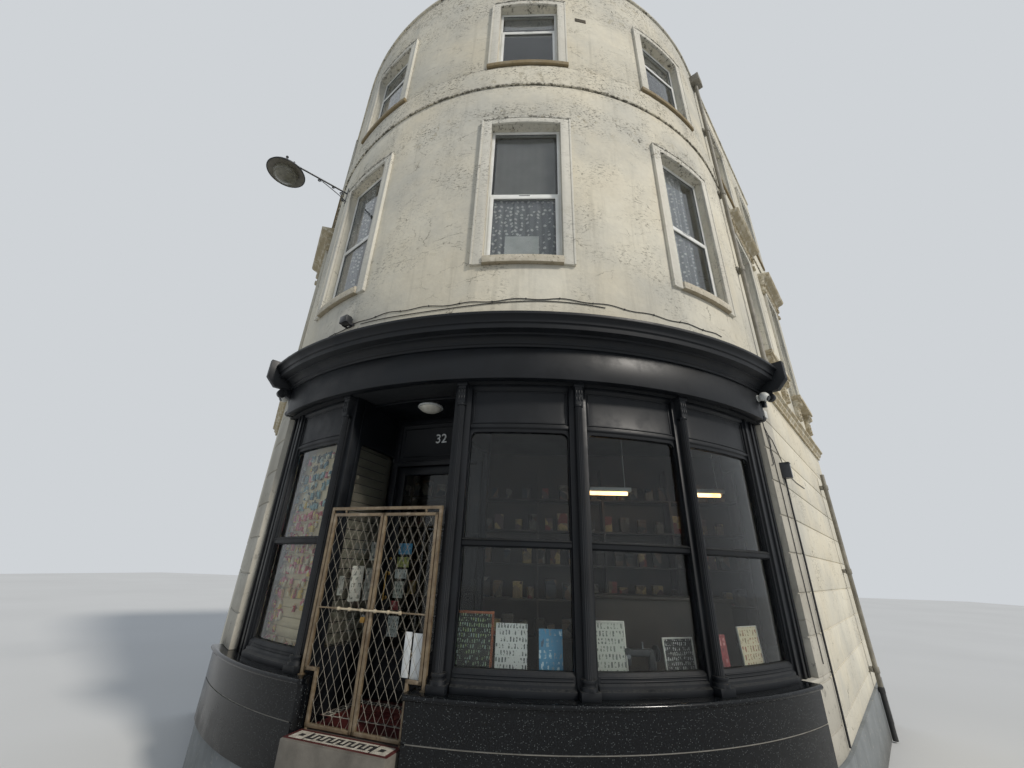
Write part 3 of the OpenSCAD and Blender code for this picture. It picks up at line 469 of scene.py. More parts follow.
def glow_material(name, tint, strength):
    """Opal acrylic over a lit tube, a little brighter in the middle than at its ends."""
    tube = Finish(name, tint, 0.4, Emission_Strength=strength)
    soft = tube.spots(3.0, 0.3, 0.8, 2.0)
    tube.tree.links.new(tube.blend(tint, "#FFE3B0", soft), tube.shader.inputs["Emission Color"])
    tube.coat("#FFF1D6", soft)
    return tube.done()


# By use: the material's name, its two tones, roughness, patches to the metre, relief in metres, grain to the
# metre, and how metallic it is
PLAIN = {
    "party_render": ("cement_render", "#A9A294", "#8F897C", 0.92, 0.8, 0.006, 9.0),
    "concrete": ("wall_plaster", "#B9B4A6", "#A29D90", 0.9, 1.2, 0.002, 20.0),
    "ceiling": ("ceiling_paint", "#1D2023", "#15181B", 0.7, 1.0, 0.001, 20.0),
    "roof_felt": ("mineral_roofing_felt", "#4B4D50", "#3C3D3F", 0.95, 1.0, 0.003, 220.0),
    "lead": ("weathered_lead", "#6F7376", "#55595C", 0.55, 3.0, 0.001, 30.0, 0.6),
    "clay": ("old_clay", "#5D5648", "#443F35", 0.9, 20.0, 0.001, 60.0),
    "step_stone": ("worn_step_stone", "#6C675E", "#524E47", 0.75, 5.0, 0.003, 60.0),
    "mosaic_white": ("white_tesserae", "#B9B4A6", "#8E897D", 0.5, 22.0, 0.0005, 90.0),
    "mosaic_black": ("black_tesserae", "#1A1A1B", "#2B2A2A", 0.45, 22.0, 0.0005, 90.0),
    "mosaic_red": ("red_tesserae", "#4E1F1D", "#3A1817", 0.5, 18.0, 0.0005, 90.0),
    "shelf_board": ("painted_shelf", "#4B4741", "#3A3733", 0.5, 2.0, 0.0005, 40.0),
    "slat_board": ("slatted_display_board", "#7F796D", "#6B665C", 0.5, 1.5, 0.0006, 60.0),
    "interior_wood": ("dark_shop_joinery", "#41382E", "#2C2620", 0.5, 3.0, 0.0006, 40.0),
    "upvc": ("white_upvc", "#E4E4DF", "#CFCFC8", 0.32, 3.0, 0.0003, 30.0),
    "light_plastic": ("opal_acrylic", "#D5D3C8", "#BDB9AB", 0.35, 9.0, 0.0003, 30.0),
    "lock_paint": ("cream_painted_steel", "#B7AB92", "#8E8069", 0.45, 25.0, 0.0005, 80.0),
    "wire": ("galvanised_wire", "#9C968A", "#6F6A5E", 0.5, 40.0, 0.0003, 120.0, 0.4),
    "brass": ("worn_brass", "#A7874D", "#7D6238", 0.35, 30.0, 0.0003, 90.0, 1.0),
    "pipe_paint": ("painted_iron_pipe", "#8C877A", "#6A665C", 0.6, 6.0, 0.002, 40.0),
    "pipe_black": ("tarred_iron_pipe", "#232425", "#343433", 0.6, 8.0, 0.002, 40.0),
    "lamp_metal": ("black_lamp_enamel", "#1E2123", "#2B2F32", 0.4, 5.0, 0.0006, 60.0),
    "lamp_inside": ("dusty_reflector", "#6E6A5E", "#57534A", 0.5, 12.0, 0.0006, 60.0),
    "fitting_plastic": ("white_abs_plastic", "#CFD0CC", "#B6B6B0", 0.45, 8.0, 0.0004, 40.0),
    "black_plastic": ("black_abs_plastic", "#1B1D20", "#292C30", 0.42, 8.0, 0.0004, 60.0),
    "lens": ("smoked_lens", "#0B0D10", "#14181C", 0.08, 4.0, 0.0001, 20.0),
    "cable": ("black_pvc_cable", "#1D1E20", "#2B2C2E", 0.5, 20.0, 0.0003, 90.0),
    "enamel": ("white_enamel", "#D6D8D6", "#BFC2C0", 0.3, 5.0, 0.0004, 40.0),
    "steel": ("brushed_steel", "#8E9294", "#6C7072", 0.35, 20.0, 0.0003, 120.0, 1.0),
    "blind": ("grey_roller_blind", "#8E8D8B", "#7E7D7C", 0.85, 3.0, 0.0004, 200.0),
    "pale_frame": ("white_picture_frame", "#CFCFC8", "#B5B5AD", 0.4, 12.0, 0.0003, 60.0),
    "oak_frame": ("stained_frame", "#8E4F2A", "#6E3B1F", 0.45, 20.0, 0.0005, 60.0),
    "pale_board": ("pale_slatted_board", "#D8C8A8", "#C3B08B", 0.5, 2.0, 0.0006, 60.0),
    "joint": ("cement_joint", "#8D8A82", "#76736B", 0.9, 9.0, 0.001, 60.0),
}

# By use: the ground, the blocks, the accents and the pitch of the blocks in metres
PRINTED = {
    "chalk_board": ("chalk_board", "#101315", "#8FA5A1", "#7D9652", 0.024),
    "notice_dark": ("dark_notice", "#0D0E0F", "#B9BBB8", "#9A9C9A", 0.022),
    "notice_pale": ("pale_notice", "#C8CCCA", "#6E7473", "#3F4445", 0.03),
    "notice_grey": ("grey_notice", "#B3B6AE", "#80857E", "#5A5F5B", 0.034),
    "notice_blue": ("blue_notice", "#4A8FB8", "#C5E0EA", "#1E4A66", 0.05),
    "notice_red": ("red_notice", "#8C3A3C", "#C98A86", "#4F2022", 0.05),
    "notice_cream": ("cream_notice", "#C9BFA2", "#7E7358", "#8F4A38", 0.04),
    "notice_yellow": ("yellow_notice", "#A9AD5C", "#C9CBB0", "#59604A", 0.06),
}

# By use: areas of colour to the metre, and the colours
GOODS = {
    "bright_goods": (17.0, ("#E2D5B8", "#C9A77C", "#B53A3A", "#E3C56A", "#DB7F8C")),
    "cool_goods": (15.0, ("#7FA6AC", "#B7C7C4", "#3D7486", "#D9D4BD", "#4E5F5A")),
    "warm_goods": (9.0, ("#8A7556", "#6C5A42", "#7A3A32", "#A08A58", "#5C4A44")),
    "dull_goods": (7.0, ("#3A342C", "#4C4438", "#2A2E33", "#5D4A35", "#6A6558")),
}


def make_materials():
    """Every material of the building, by the record's slot or by its own use."""
    for use, (name, first, second, roughness, scale, depth, fine, *metallic) in PLAIN.items():
        fixed = {"Metallic": metallic[0]} if metallic else {}
        MADE[use] = plain_material(name, first, second, roughness, scale, depth, fine, **fixed)
    for use, printed in PRINTED.items():
        MADE[use] = printed_material(*printed)
    for use, (size, colours) in GOODS.items():
        MADE[use] = goods_material(use, size, colours)
    wet_levels = ((9.25, 9.7), (11.5, 11.85), (12.15, 12.64), (8.35, 8.6))
    head_levels = ((8.2, 8.45), (11.45, 11.7))
    MADE.update(
        painted_timber=paint_material(),
        granite=granite_material(),
        stucco=stucco_material("cream_stucco", "#D9D3C1", "#D2C9B3", "#B7B5AB", wet_levels, 0.8, 1.0,
                               (9.22, 9.69)),
        surround=stucco_material("surround_paint", "#DAD6C9", "#D0CBBD", "#BEBCB2", head_levels, 0.3, 0.5,
                                 (8.39, 11.64)),
        pier=flaking_material(),
        base_paint=base_material(),
        floor_tile=tile_material(),
        shop_glass=glass_material("shop_glass", "#F1F5F4", 0.0, 0.08, 1.32),
        sash_glass=glass_material("sash_glass", "#E9ECEC", 0.01, 0.18, 1.38),
        gate_bronze=bronze_material(),
        buff_stone=weathered_and_shaded_material("weathered_shaded_hood_stone", "#D0C8B4", "#A69A80", "#554C3D"),
        ledge_paint=weathered_and_shaded_material("weathered_shaded_ledge_paint", "#D1CBBA", "#A89B7E", "#534B3E"),
        sill_stone=weathered_and_shaded_material("weathered_shaded_sill_stone", "#C3BCAB", "#857659", "#3E372B", "#8C8069"),
        lamp_glass=plain_material("prismatic_lamp_bowl", "#8F8C7C", "#6F6C5F", 0.18, 20.0, 0.0008, 45.0,
                                  Transmission_Weight=0.35),
        net=lace_material(),
        warm_light=glow_material("warm_strip_light", "#FFB665", 3.5),
    )


def shift(x, y, z):
    """A move along a frame's own axes, in metres."""
    return Matrix.Translation((x, y, z))


BLACK = "painted_timber"
HERE = Matrix.Identity(4)
# Turns that point a piece's z out to the street, or along the wall to the right
TO_STREET = Matrix.Rotation(math.pi / 2, 4, "X")
TO_RIGHT = Matrix.Rotation(math.pi / 2, 4, "Y")
BOW_WINDOWS = [Matrix.Rotation(math.radians(a), 4, "Z") @ shift(0, -RADIUS, 0) for a in WIN_DEG]
FLANK_WINDOWS = [Matrix.Rotation(RIGHT_TURN, 4, "Z") @ shift(x, -RADIUS, 0) for x in RIGHT_WIN]
FLANK_WINDOWS += [Matrix.Rotation(-LEFT_TURN, 4, "Z") @ shift(-x, -RADIUS, 0) for x in LEFT_WIN]
ENTRANCE = Matrix.Rotation(DOOR_ANGLE, 4, "Z")
RIGHT_WALL = Matrix.Rotation(RIGHT_TURN, 4, "Z") @ shift(0, -RADIUS, 0)
# An edge stays sharp from SHARP on, and an arris of a CAD node is rounded from CORNER on
SHARP = math.radians(35)
CORNER = math.radians(28)
# Points closer than DOUBLE are one, and TIP is the radius of the closed ends of a turned piece
DOUBLE = 0.00005
TIP = 0.001
# Where the back of a fitting stands against the wall, in y
ON_WALL = -0.0005


def along(degrees):
    """Metres along the street front at an angle round the corner."""
    return math.radians(degrees) * RADIUS


def on_wall(s, out, z):
    """A point of the street front: s metres along it from the middle of the corner, out metres before it."""
    on_arc = min(max(s, -LEFT_TURN * RADIUS), RIGHT_TURN * RADIUS)
    angle = on_arc / RADIUS
    beyond = s - on_arc
    reach = RADIUS + out
    return Vector((reach * math.sin(angle) + beyond * math.cos(angle),
                   -reach * math.cos(angle) + beyond * math.sin(angle), z))


def at(degrees, reach=RADIUS):
    """A frame at an angle round the corner, reach metres from its centre: x along the wall, y inwards."""
    return Matrix.Rotation(math.radians(degrees), 4, "Z") @ shift(0, -reach, 0)


def skin(bm, rings):
    """Joins equal rings of points into a closed tube."""
    made = [[bm.verts.new(p) for p in ring] for ring in rings]
    count = len(made[0])
    for first, second in zip(made, made[1:]):
        for i in range(count):
            j = (i + 1) % count
            bm.faces.new((first[i], first[j], second[j], second[i]))
    bm.faces.new(made[0][::-1])
    bm.faces.new(made[-1])


def rounded(outline, radius, steps=3):
    """The outline with its corners rounded off, as far as its short sides allow."""
    made = []
    for before, corner, after in zip(outline[-1:] + outline[:-1], outline, outline[1:] + outline[:1]):
        before, corner, after = Vector(before), Vector(corner), Vector(after)
        reach = min(radius, (before - corner).length * 0.45, (after - corner).length * 0.45)
        start = corner + (before - corner).normalized() * reach
        end = corner + (after - corner).normalized() * reach
        for i in range(steps + 1):
            t = i / steps
            made.append(start * (1 - t) ** 2 + corner * 2 * t * (1 - t) + end * t * t)
    return made


def run(bm, profile, start, end, step=0.08, radius=0.0, rough=0.0, grain=9.0):
    """Sweeps a profile of (out, z) points along the street front, its arrises rounded, its faces uneven."""
    outline = rounded(profile, radius) if radius else [Vector(p) for p in profile]
    count = max(2, round((end - start) / step))
    rings = []
    for i in range(count + 1):
        s = start + (end - start) * i / count
        ring = []
        for out, z in outline:
            point = on_wall(s, out, z)
            if rough:
                point += noise.noise_vector(point * grain) * rough
            ring.append(point)
        rings.append(ring)
    skin(bm, rings)


def block(bm, frame, low, high, edge=0.0, steps=2):
    """A block between two corners in a frame, with its arrises rounded."""
    low, high = Vector(low), Vector(high)
    place = frame @ Matrix.Translation((low + high) / 2) @ Matrix.Diagonal((*(high - low), 1))
    verts = bmesh.ops.create_cube(bm, size=1, matrix=place)["verts"]
    if edge:
        edges = list(dict.fromkeys(e for v in verts for e in v.link_edges))
        bmesh.ops.bevel(bm, geom=edges, offset=edge, segments=steps, profile=0.5, affect="EDGES",
                        clamp_overlap=True)


def lathe(bm, frame, profile, sides=32):
    """Turns a profile of (radius, z) points round a frame's z, with closed ends."""
    rings = []
    for radius, z in profile:
        rings.append([frame @ Vector((radius * math.cos(t), radius * math.sin(t), z))
                      for t in (2 * math.pi * i / sides for i in range(sides))])
    skin(bm, rings)


def disc(bm, frame, radius, low, high, sides):
    """A plain turned piece between two heights of a frame."""
    lathe(bm, frame, [(TIP, low), (radius, low), (radius, high), (TIP, high)], sides)


def smoothed(bm):
    """Turns faces outwards and makes them smooth but for the sharp edges."""
    bmesh.ops.recalc_face_normals(bm, faces=bm.faces)
    for face in bm.faces:
        face.smooth = True
    for e in bm.edges:
        e.smooth = len(e.link_faces) == 2 and e.calc_face_angle(0.0) < SHARP


def new_object(name, data):
    """An object in the scene for a mesh, a curve, a light or a camera."""
    made = bpy.data.objects.new(name, data)
    bpy.context.scene.collection.objects.link(made)
    return made


def settle(name, mesh, nodes, body):
    """Makes a piece of a finished mesh, on its body, with the CAD nodes that it stands for."""
    piece = new_object(name, mesh)
    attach(piece, body)
    if nodes:
        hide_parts(*nodes)


def finish(bm, name, material, nodes=(), body="building"):
    """Makes a piece of a mesh under work: doubles merged, faces outwards, smooth but for sharp edges."""
    bmesh.ops.remove_doubles(bm, verts=bm.verts, dist=DOUBLE)
    bmesh.ops.dissolve_degenerate(bm, edges=bm.edges, dist=0.00002)
    smoothed(bm)
    mesh = bpy.data.meshes.new(name)
    bm.to_mesh(mesh)
    bm.free()
    mesh.materials.append(MADE[material])
    settle(name, mesh, nodes, body)


def merged_copy(node, joined):
    """A copy of a CAD node's mesh, doubles merged, and flat faces joined where they hold no openings."""
    bm = bmesh.new()
    bm.from_mesh(frame["nodes"][node].data)
    bmesh.ops.remove_doubles(bm, verts=bm.verts, dist=0.00006)
    if joined:
        bmesh.ops.dissolve_limit(bm, angle_limit=math.radians(0.4), use_dissolve_boundaries=False,
                                 verts=bm.verts, edges=bm.edges)
    return bm


def dressed(node, material, edge, body="building", joined=True):
    """A copy of a CAD node with its arrises rounded, smooth between them."""
    bm = merged_copy(node, joined)
    edges = [e for e in bm.edges if len(e.link_faces) == 2 and e.calc_face_angle(0.0) > CORNER]
    bmesh.ops.bevel(bm, geom=edges, offset=edge, segments=2, profile=0.5, affect="EDGES", clamp_overlap=True,
                    miter_outer="ARC")
    finish(bm, node + "_dressed", material, (node,), body)


def bake(carrier, name, body="building", nodes=(), slot=None):
    """Turns a carrier with a Geometry Nodes modifier into one mesh piece."""
    graph = bpy.context.evaluated_depsgraph_get()
    mesh = bpy.data.meshes.new_from_object(carrier.evaluated_get(graph))
    mesh.name = name
    bpy.data.objects.remove(carrier)
    bm = bmesh.new()
    bm.from_mesh(mesh)
    bmesh.ops.remove_doubles(bm, verts=bm.verts, dist=DOUBLE)
    smoothed(bm)
    bm.to_mesh(mesh)
    bm.free()
    settle(name, mesh, nodes, body)


def begin_tree(name, inputs):
    """Starts a Geometry Nodes tree with named inputs, each with its kind and its default."""
    tree = bpy.data.node_groups.new(name, "GeometryNodeTree")
    for key, kind, default in (("Geometry", "Geometry", None), *inputs, ("Material", "Material", None)):
        socket = tree.interface.new_socket(key, in_out="INPUT", socket_type="NodeSocket" + kind)
        if default is not None:
            socket.default_value = default
    tree.interface.new_socket("Geometry", in_out="OUTPUT", socket_type="NodeSocketGeometry")
    return tree, add(tree, "NodeGroupInput").outputs


def end_tree(tree, given, geometry):
    """Ends a tree: what it made becomes real and takes its material."""
    real = add(tree, "GeometryNodeRealizeInstances", {"Geometry": geometry})
    painted = add(tree, "GeometryNodeSetMaterial", {"Geometry": real.outputs[0],
                                                    "Material": given["Material"]})
    add(tree, "NodeGroupOutput", {"Geometry": painted.outputs[0]})
    return tree


def path_tree():
    """Geometry Nodes: rods, cables and wires along the edges of a mesh."""
    tree, given = begin_tree("rods_along_edges", (("Radius", "Float", 0.003), ("Sides", "Int", 8)))
    curve = add(tree, "GeometryNodeMeshToCurve", {"Mesh": given["Geometry"]})
    ring = add(tree, "GeometryNodeCurvePrimitiveCircle", {"Radius": given["Radius"],
                                                          "Resolution": given["Sides"]})
    solid = add(tree, "GeometryNodeCurveToMesh", {"Fill Caps": True, "Curve": curve.outputs[0],
                                                  "Profile Curve": ring.outputs[0]})
    return end_tree(tree, given, solid.outputs[0])


def repeat_tree():
    """Geometry Nodes: a small piece at every point, each turned, tilted and sized a little differently."""
    tree, given = begin_tree("pieces_on_points", (
        ("Piece", "Object", None), ("Size Variation", "Float", 0.0), ("Tilt", "Float", 0.0),
        ("Seed", "Int", 1)))
    piece = add(tree, "GeometryNodeObjectInfo", {"As Instance": True, "Object": given["Piece"]})
    less = add(tree, "ShaderNodeMath", {"operation": "SUBTRACT", 0: 1.0, 1: given["Size Variation"]})
    size = add(tree, "FunctionNodeRandomValue", {"data_type": "FLOAT", 2: less.outputs[0], 3: 1.0,
                                                 "Seed": given["Seed"]})
    back = add(tree, "ShaderNodeMath", {"operation": "MULTIPLY", 0: given["Tilt"], 1: -1.0}).outputs[0]
    low = add(tree, "ShaderNodeCombineXYZ", {0: back, 1: back, 2: back})
    high = add(tree, "ShaderNodeCombineXYZ", {0: given["Tilt"], 1: given["Tilt"], 2: given["Tilt"]})
    tilt = add(tree, "FunctionNodeRandomValue", {"data_type": "FLOAT_VECTOR", 0: low.outputs[0],
                                                 1: high.outputs[0], "Seed": given["Seed"]})
    facing = add(tree, "GeometryNodeInputNamedAttribute", {"data_type": "FLOAT_VECTOR", "Name": "facing"})
    both = add(tree, "ShaderNodeVectorMath", {"operation": "ADD", 0: facing.outputs[0], 1: tilt.outputs[0]})
    placed = add(tree, "GeometryNodeInstanceOnPoints", {
        "Points": given["Geometry"], "Instance": piece.outputs["Geometry"], "Rotation": both.outputs[0],
        "Scale": size.outputs[1]})
    return end_tree(tree, given, placed.outputs[0])


def with_tree(carrier, tree, **values):
    """Puts a node tree on a carrier and sets its named inputs."""
    modifier = carrier.modifiers.new("pieces", "NODES")
    modifier.node_group = tree
    sockets = {item.name: item.identifier for item in tree.interface.items_tree if item.in_out == "INPUT"}
    for name, value in values.items():
        modifier[sockets[name.replace("_", " ")]] = value
    carrier.update_tag()
    bpy.context.view_layer.update()


def rods(name, paths, radius, material, sides=8, **rest):
    """One piece of rods along paths, each a list of points."""
    mesh = bpy.data.meshes.new(name + "_paths")
    points, edges = [], []
    for path in paths:
        first = len(points)
        points += [tuple(p) for p in path]
        edges += [(i, i + 1) for i in range(first, len(points) - 1)]
    mesh.from_pydata(points, edges, [])
    carrier = new_object(name + "_carrier", mesh)
    tree = bpy.data.node_groups.get("rods_along_edges") or path_tree()
    with_tree(carrier, tree, Radius=radius, Sides=sides, Material=MADE[material])
    bake(carrier, name, **rest)


def repeats(name, points, piece_bm, material, variation=0.0, tilt=0.0, seed=1, **rest):
    """One piece of many small ones: points holds a place and a turn about z for each."""
    mesh = bpy.data.meshes.new(name + "_points")
    mesh.from_pydata([tuple(p) for p, _ in points], [], [])
    facing = mesh.attributes.new("facing", "FLOAT_VECTOR", "POINT")
    for item, (_, spin) in zip(facing.data, points):
        item.vector = spin
    carrier = new_object(name + "_carrier", mesh)
    bmesh.ops.recalc_face_normals(piece_bm, faces=piece_bm.faces)
    small = bpy.data.meshes.new(name + "_single")
    piece_bm.to_mesh(small)
    piece_bm.free()
    single = new_object(name + "_single", small)
    tree = bpy.data.node_groups.get("pieces_on_points") or repeat_tree()
    with_tree(carrier, tree, Piece=single, Size_Variation=variation, Tilt=tilt, Seed=seed,
              Material=MADE[material])
    bake(carrier, name, **rest)
    bpy.data.objects.remove(single)


def bead(bm, start, end, out, z, size):
    """A thin half-round moulding along the street front."""
    turns = [math.pi * i / 6 for i in range(7)]
    face = [(out + size * math.sin(t) * 0.8, z - size * math.cos(t)) for t in turns]
    back = out - 0.002
    run(bm, face + [(back, z + size), (back, z - size)], start, end, 0.05)


def spiral(place, centre, size, turns, count, left, spin=1):
    """Points of a scroll that winds in towards its centre, with a few steps left at its end."""
    x, y, z = centre
    points = []
    for i in range(count + 1):
        turn = i / count * turns * math.pi * spin
        reach = size * (1 - i / (count + left))
        points.append(place @ Vector((x, y + reach * math.cos(turn), z + reach * math.sin(turn))))
    return points


def post(bm, degrees, out_low, out_high, half, low, high, edge=0.002):
    """An upright strip on the round front at an angle."""
    block(bm, at(degrees), (-half, -out_high, low), (half, -out_low, high), edge)


def card(bm, place, x1, x2, z1, z2, y=0.0, thick=0.004):
    """A thin card or board."""
    block(bm, place, (x1, y, z1), (x2, y + thick, z2), min(0.001, thick * 0.3), 1)


def paint_node(node, material):
    """Gives a CAD node that is shown as it is its material."""
    mesh = frame["nodes"][node].data
    mesh.materials.clear()
    mesh.materials.append(MADE[material])


class CornerShopSettings(bpy.types.PropertyGroup):
    """What can be set before the building is dressed."""
    edge: bpy.props.FloatProperty(
        name="Timber edges", description="Radius of the arrises of painted timber", default=0.003, min=0.001,
        max=0.01, unit="LENGTH")
    stone_edge: bpy.props.FloatProperty(
        name="Stone edges", description="Radius of the arrises of stucco and stone", default=0.008, min=0.002,
        max=0.02, unit="LENGTH")
    wear: bpy.props.FloatProperty(
        name="Wear", description="How uneven the mouldings of the upper storeys are", default=1.0, min=0.0,
        max=2.0, subtype="FACTOR")
    tessera: bpy.props.FloatProperty(
        name="Mosaic piece", description="Width of one piece of the mosaic with its joint", default=0.0125,
        min=0.01, max=0.03, unit="LENGTH")
    wire: bpy.props.FloatProperty(
        name="Gate wire", description="Radius of the wires of the gate's mesh", default=0.0018, min=0.0015,
        max=0.004, unit="LENGTH")
    seed: bpy.props.IntProperty(
        name="Seed", description="Seed of every random choice", default=7, min=0)
    light: bpy.props.FloatProperty(
        name="Studio light", description="Strength of the studio lamps", default=1.0, min=0.1, max=4.0,
        subtype="FACTOR")


FRONT_LEFT = -LEFT_TURN * RADIUS - LEFT_LEN + 0.004
FRONT_RIGHT = RIGHT_TURN * RADIUS + RIGHT_LEN - 0.004
PIPE_S = RIGHT_TURN * RADIUS + 0.26
PIPE_GAP = 0.043


class CORNERSHOP_OT_masonry(bpy.types.Operator):
    """Dress the walls, base, party walls, floors, roof, sill band and coping"""
    bl_idname = "cornershop.masonry"
    bl_label = "Dress Masonry"

    def execute(self, context):
        settings = context.scene.corner_shop
        edge = settings.stone_edge
        for node in ("bow_wall_first", "bow_wall_second", "street_walls_first", "street_walls_second",
                     "street_walls_ground"):
            dressed(node, "stucco", edge, joined=False)
        dressed("ledges", "ledge_paint", edge * 0.6)
        dressed("piers", "pier", edge)
        dressed("footings", "base_paint", edge)
        for node, material in (("party_walls", "party_render"), ("beam", "ceiling"),
                               ("upper_floors", "concrete"), ("ground_slab", "concrete"),
                               ("shop_floor", "concrete"), ("roof", "roof_felt")):
            paint_node(node, material)
        noise.seed_set(settings.seed + 1)
        wear = 0.002 * settings.wear
        bm = bmesh.new()
        band = [(BED, STRING_Z), (0.024, STRING_Z), (0.0245, STRING_Z + 0.02), (0.024, STRING_TOP - 0.012),
                (0.015, STRING_TOP), (BED, STRING_TOP)]
        run(bm, band, FRONT_LEFT, PIPE_S - PIPE_GAP, 0.04, 0.005, wear, 8.0)
        run(bm, band, PIPE_S + PIPE_GAP, FRONT_RIGHT, 0.04, 0.005, wear, 8.0)
        finish(bm, "sill_band_worn", "stucco", ("string_course",))
        bm = bmesh.new()
        cap = [(-0.373, WALL_TOP + BED), (0.033, WALL_TOP + BED), (0.033, TOP_Z - 0.004),
               (-0.373, TOP_Z - 0.004)]
        run(bm, cap, FRONT_LEFT, FRONT_RIGHT, 0.05, 0.012, wear, 5.0)
        finish(bm, "coping_worn", "stucco", ("coping",))
        self.roof_felt()
        self.air_brick()
        return {"FINISHED"}

    def roof_felt(self):
        """Lapped sheets of felt on the roof, with a lead flashing along the parapet."""
        bm = bmesh.new()
        low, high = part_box("roof")
        y = low.y + 0.9
        while y < high.y - 0.5:
            left, right = self.roof_reach(y)
            if right - left > LAP:
                block(bm, HERE, (left, y, ROOF_Z), (right, y + LAP, ROOF_Z + 0.006), 0.002, 1)
            y += 0.95
        finish(bm, "felt_laps", "roof_felt")
        bm = bmesh.new()
        upstand = [(-0.362, ROOF_Z), (-0.352, ROOF_Z), (-0.352, ROOF_Z + 0.15), (-0.362, ROOF_Z + 0.15)]
        run(bm, upstand, FRONT_LEFT + 0.25, FRONT_RIGHT - 0.25, 0.1)
        finish(bm, "lead_flashing", "lead")

    def roof_reach(self, y):
        """How far a lap of felt reaches to each side at depth y, inside the street and party walls."""
        inner = RADIUS - 0.37
        reach = []
        for turn, length in ((LEFT_TURN, LEFT_LEN), (RIGHT_TURN, RIGHT_LEN)):
            sine, cosine = math.sin(turn), math.cos(turn)
            if y < -inner * cosine:
                side = math.sqrt(max(0.01, inner * inner - y * y))
            else:
                side = inner * sine + (y + inner * cosine) * cosine / sine
            end_x, end_y = RADIUS * sine + length * cosine, -RADIUS * cosine + length * sine
            party = end_x - (y + LAP - end_y) * sine / cosine - (PARTY_T + 0.02) / cosine
            reach.append(min(side, party))
        return -reach[0], reach[1]

    def air_brick(self):
        """A dark clay air brick beside the middle window of the second floor."""
        bm = bmesh.new()
        place = at(13.2)
        block(bm, place, (-0.1, -0.006, 11.15), (0.1, 0.02, 11.25), 0.003)
        for row in range(2):
            for column in range(5):
                x = -0.078 + column * 0.034
                z = 11.163 + row * 0.043
                block(bm, place, (x, -0.009, z), (x + 0.02, -0.004, z + 0.03), 0.001, 1)
        finish(bm, "air_brick", "clay")


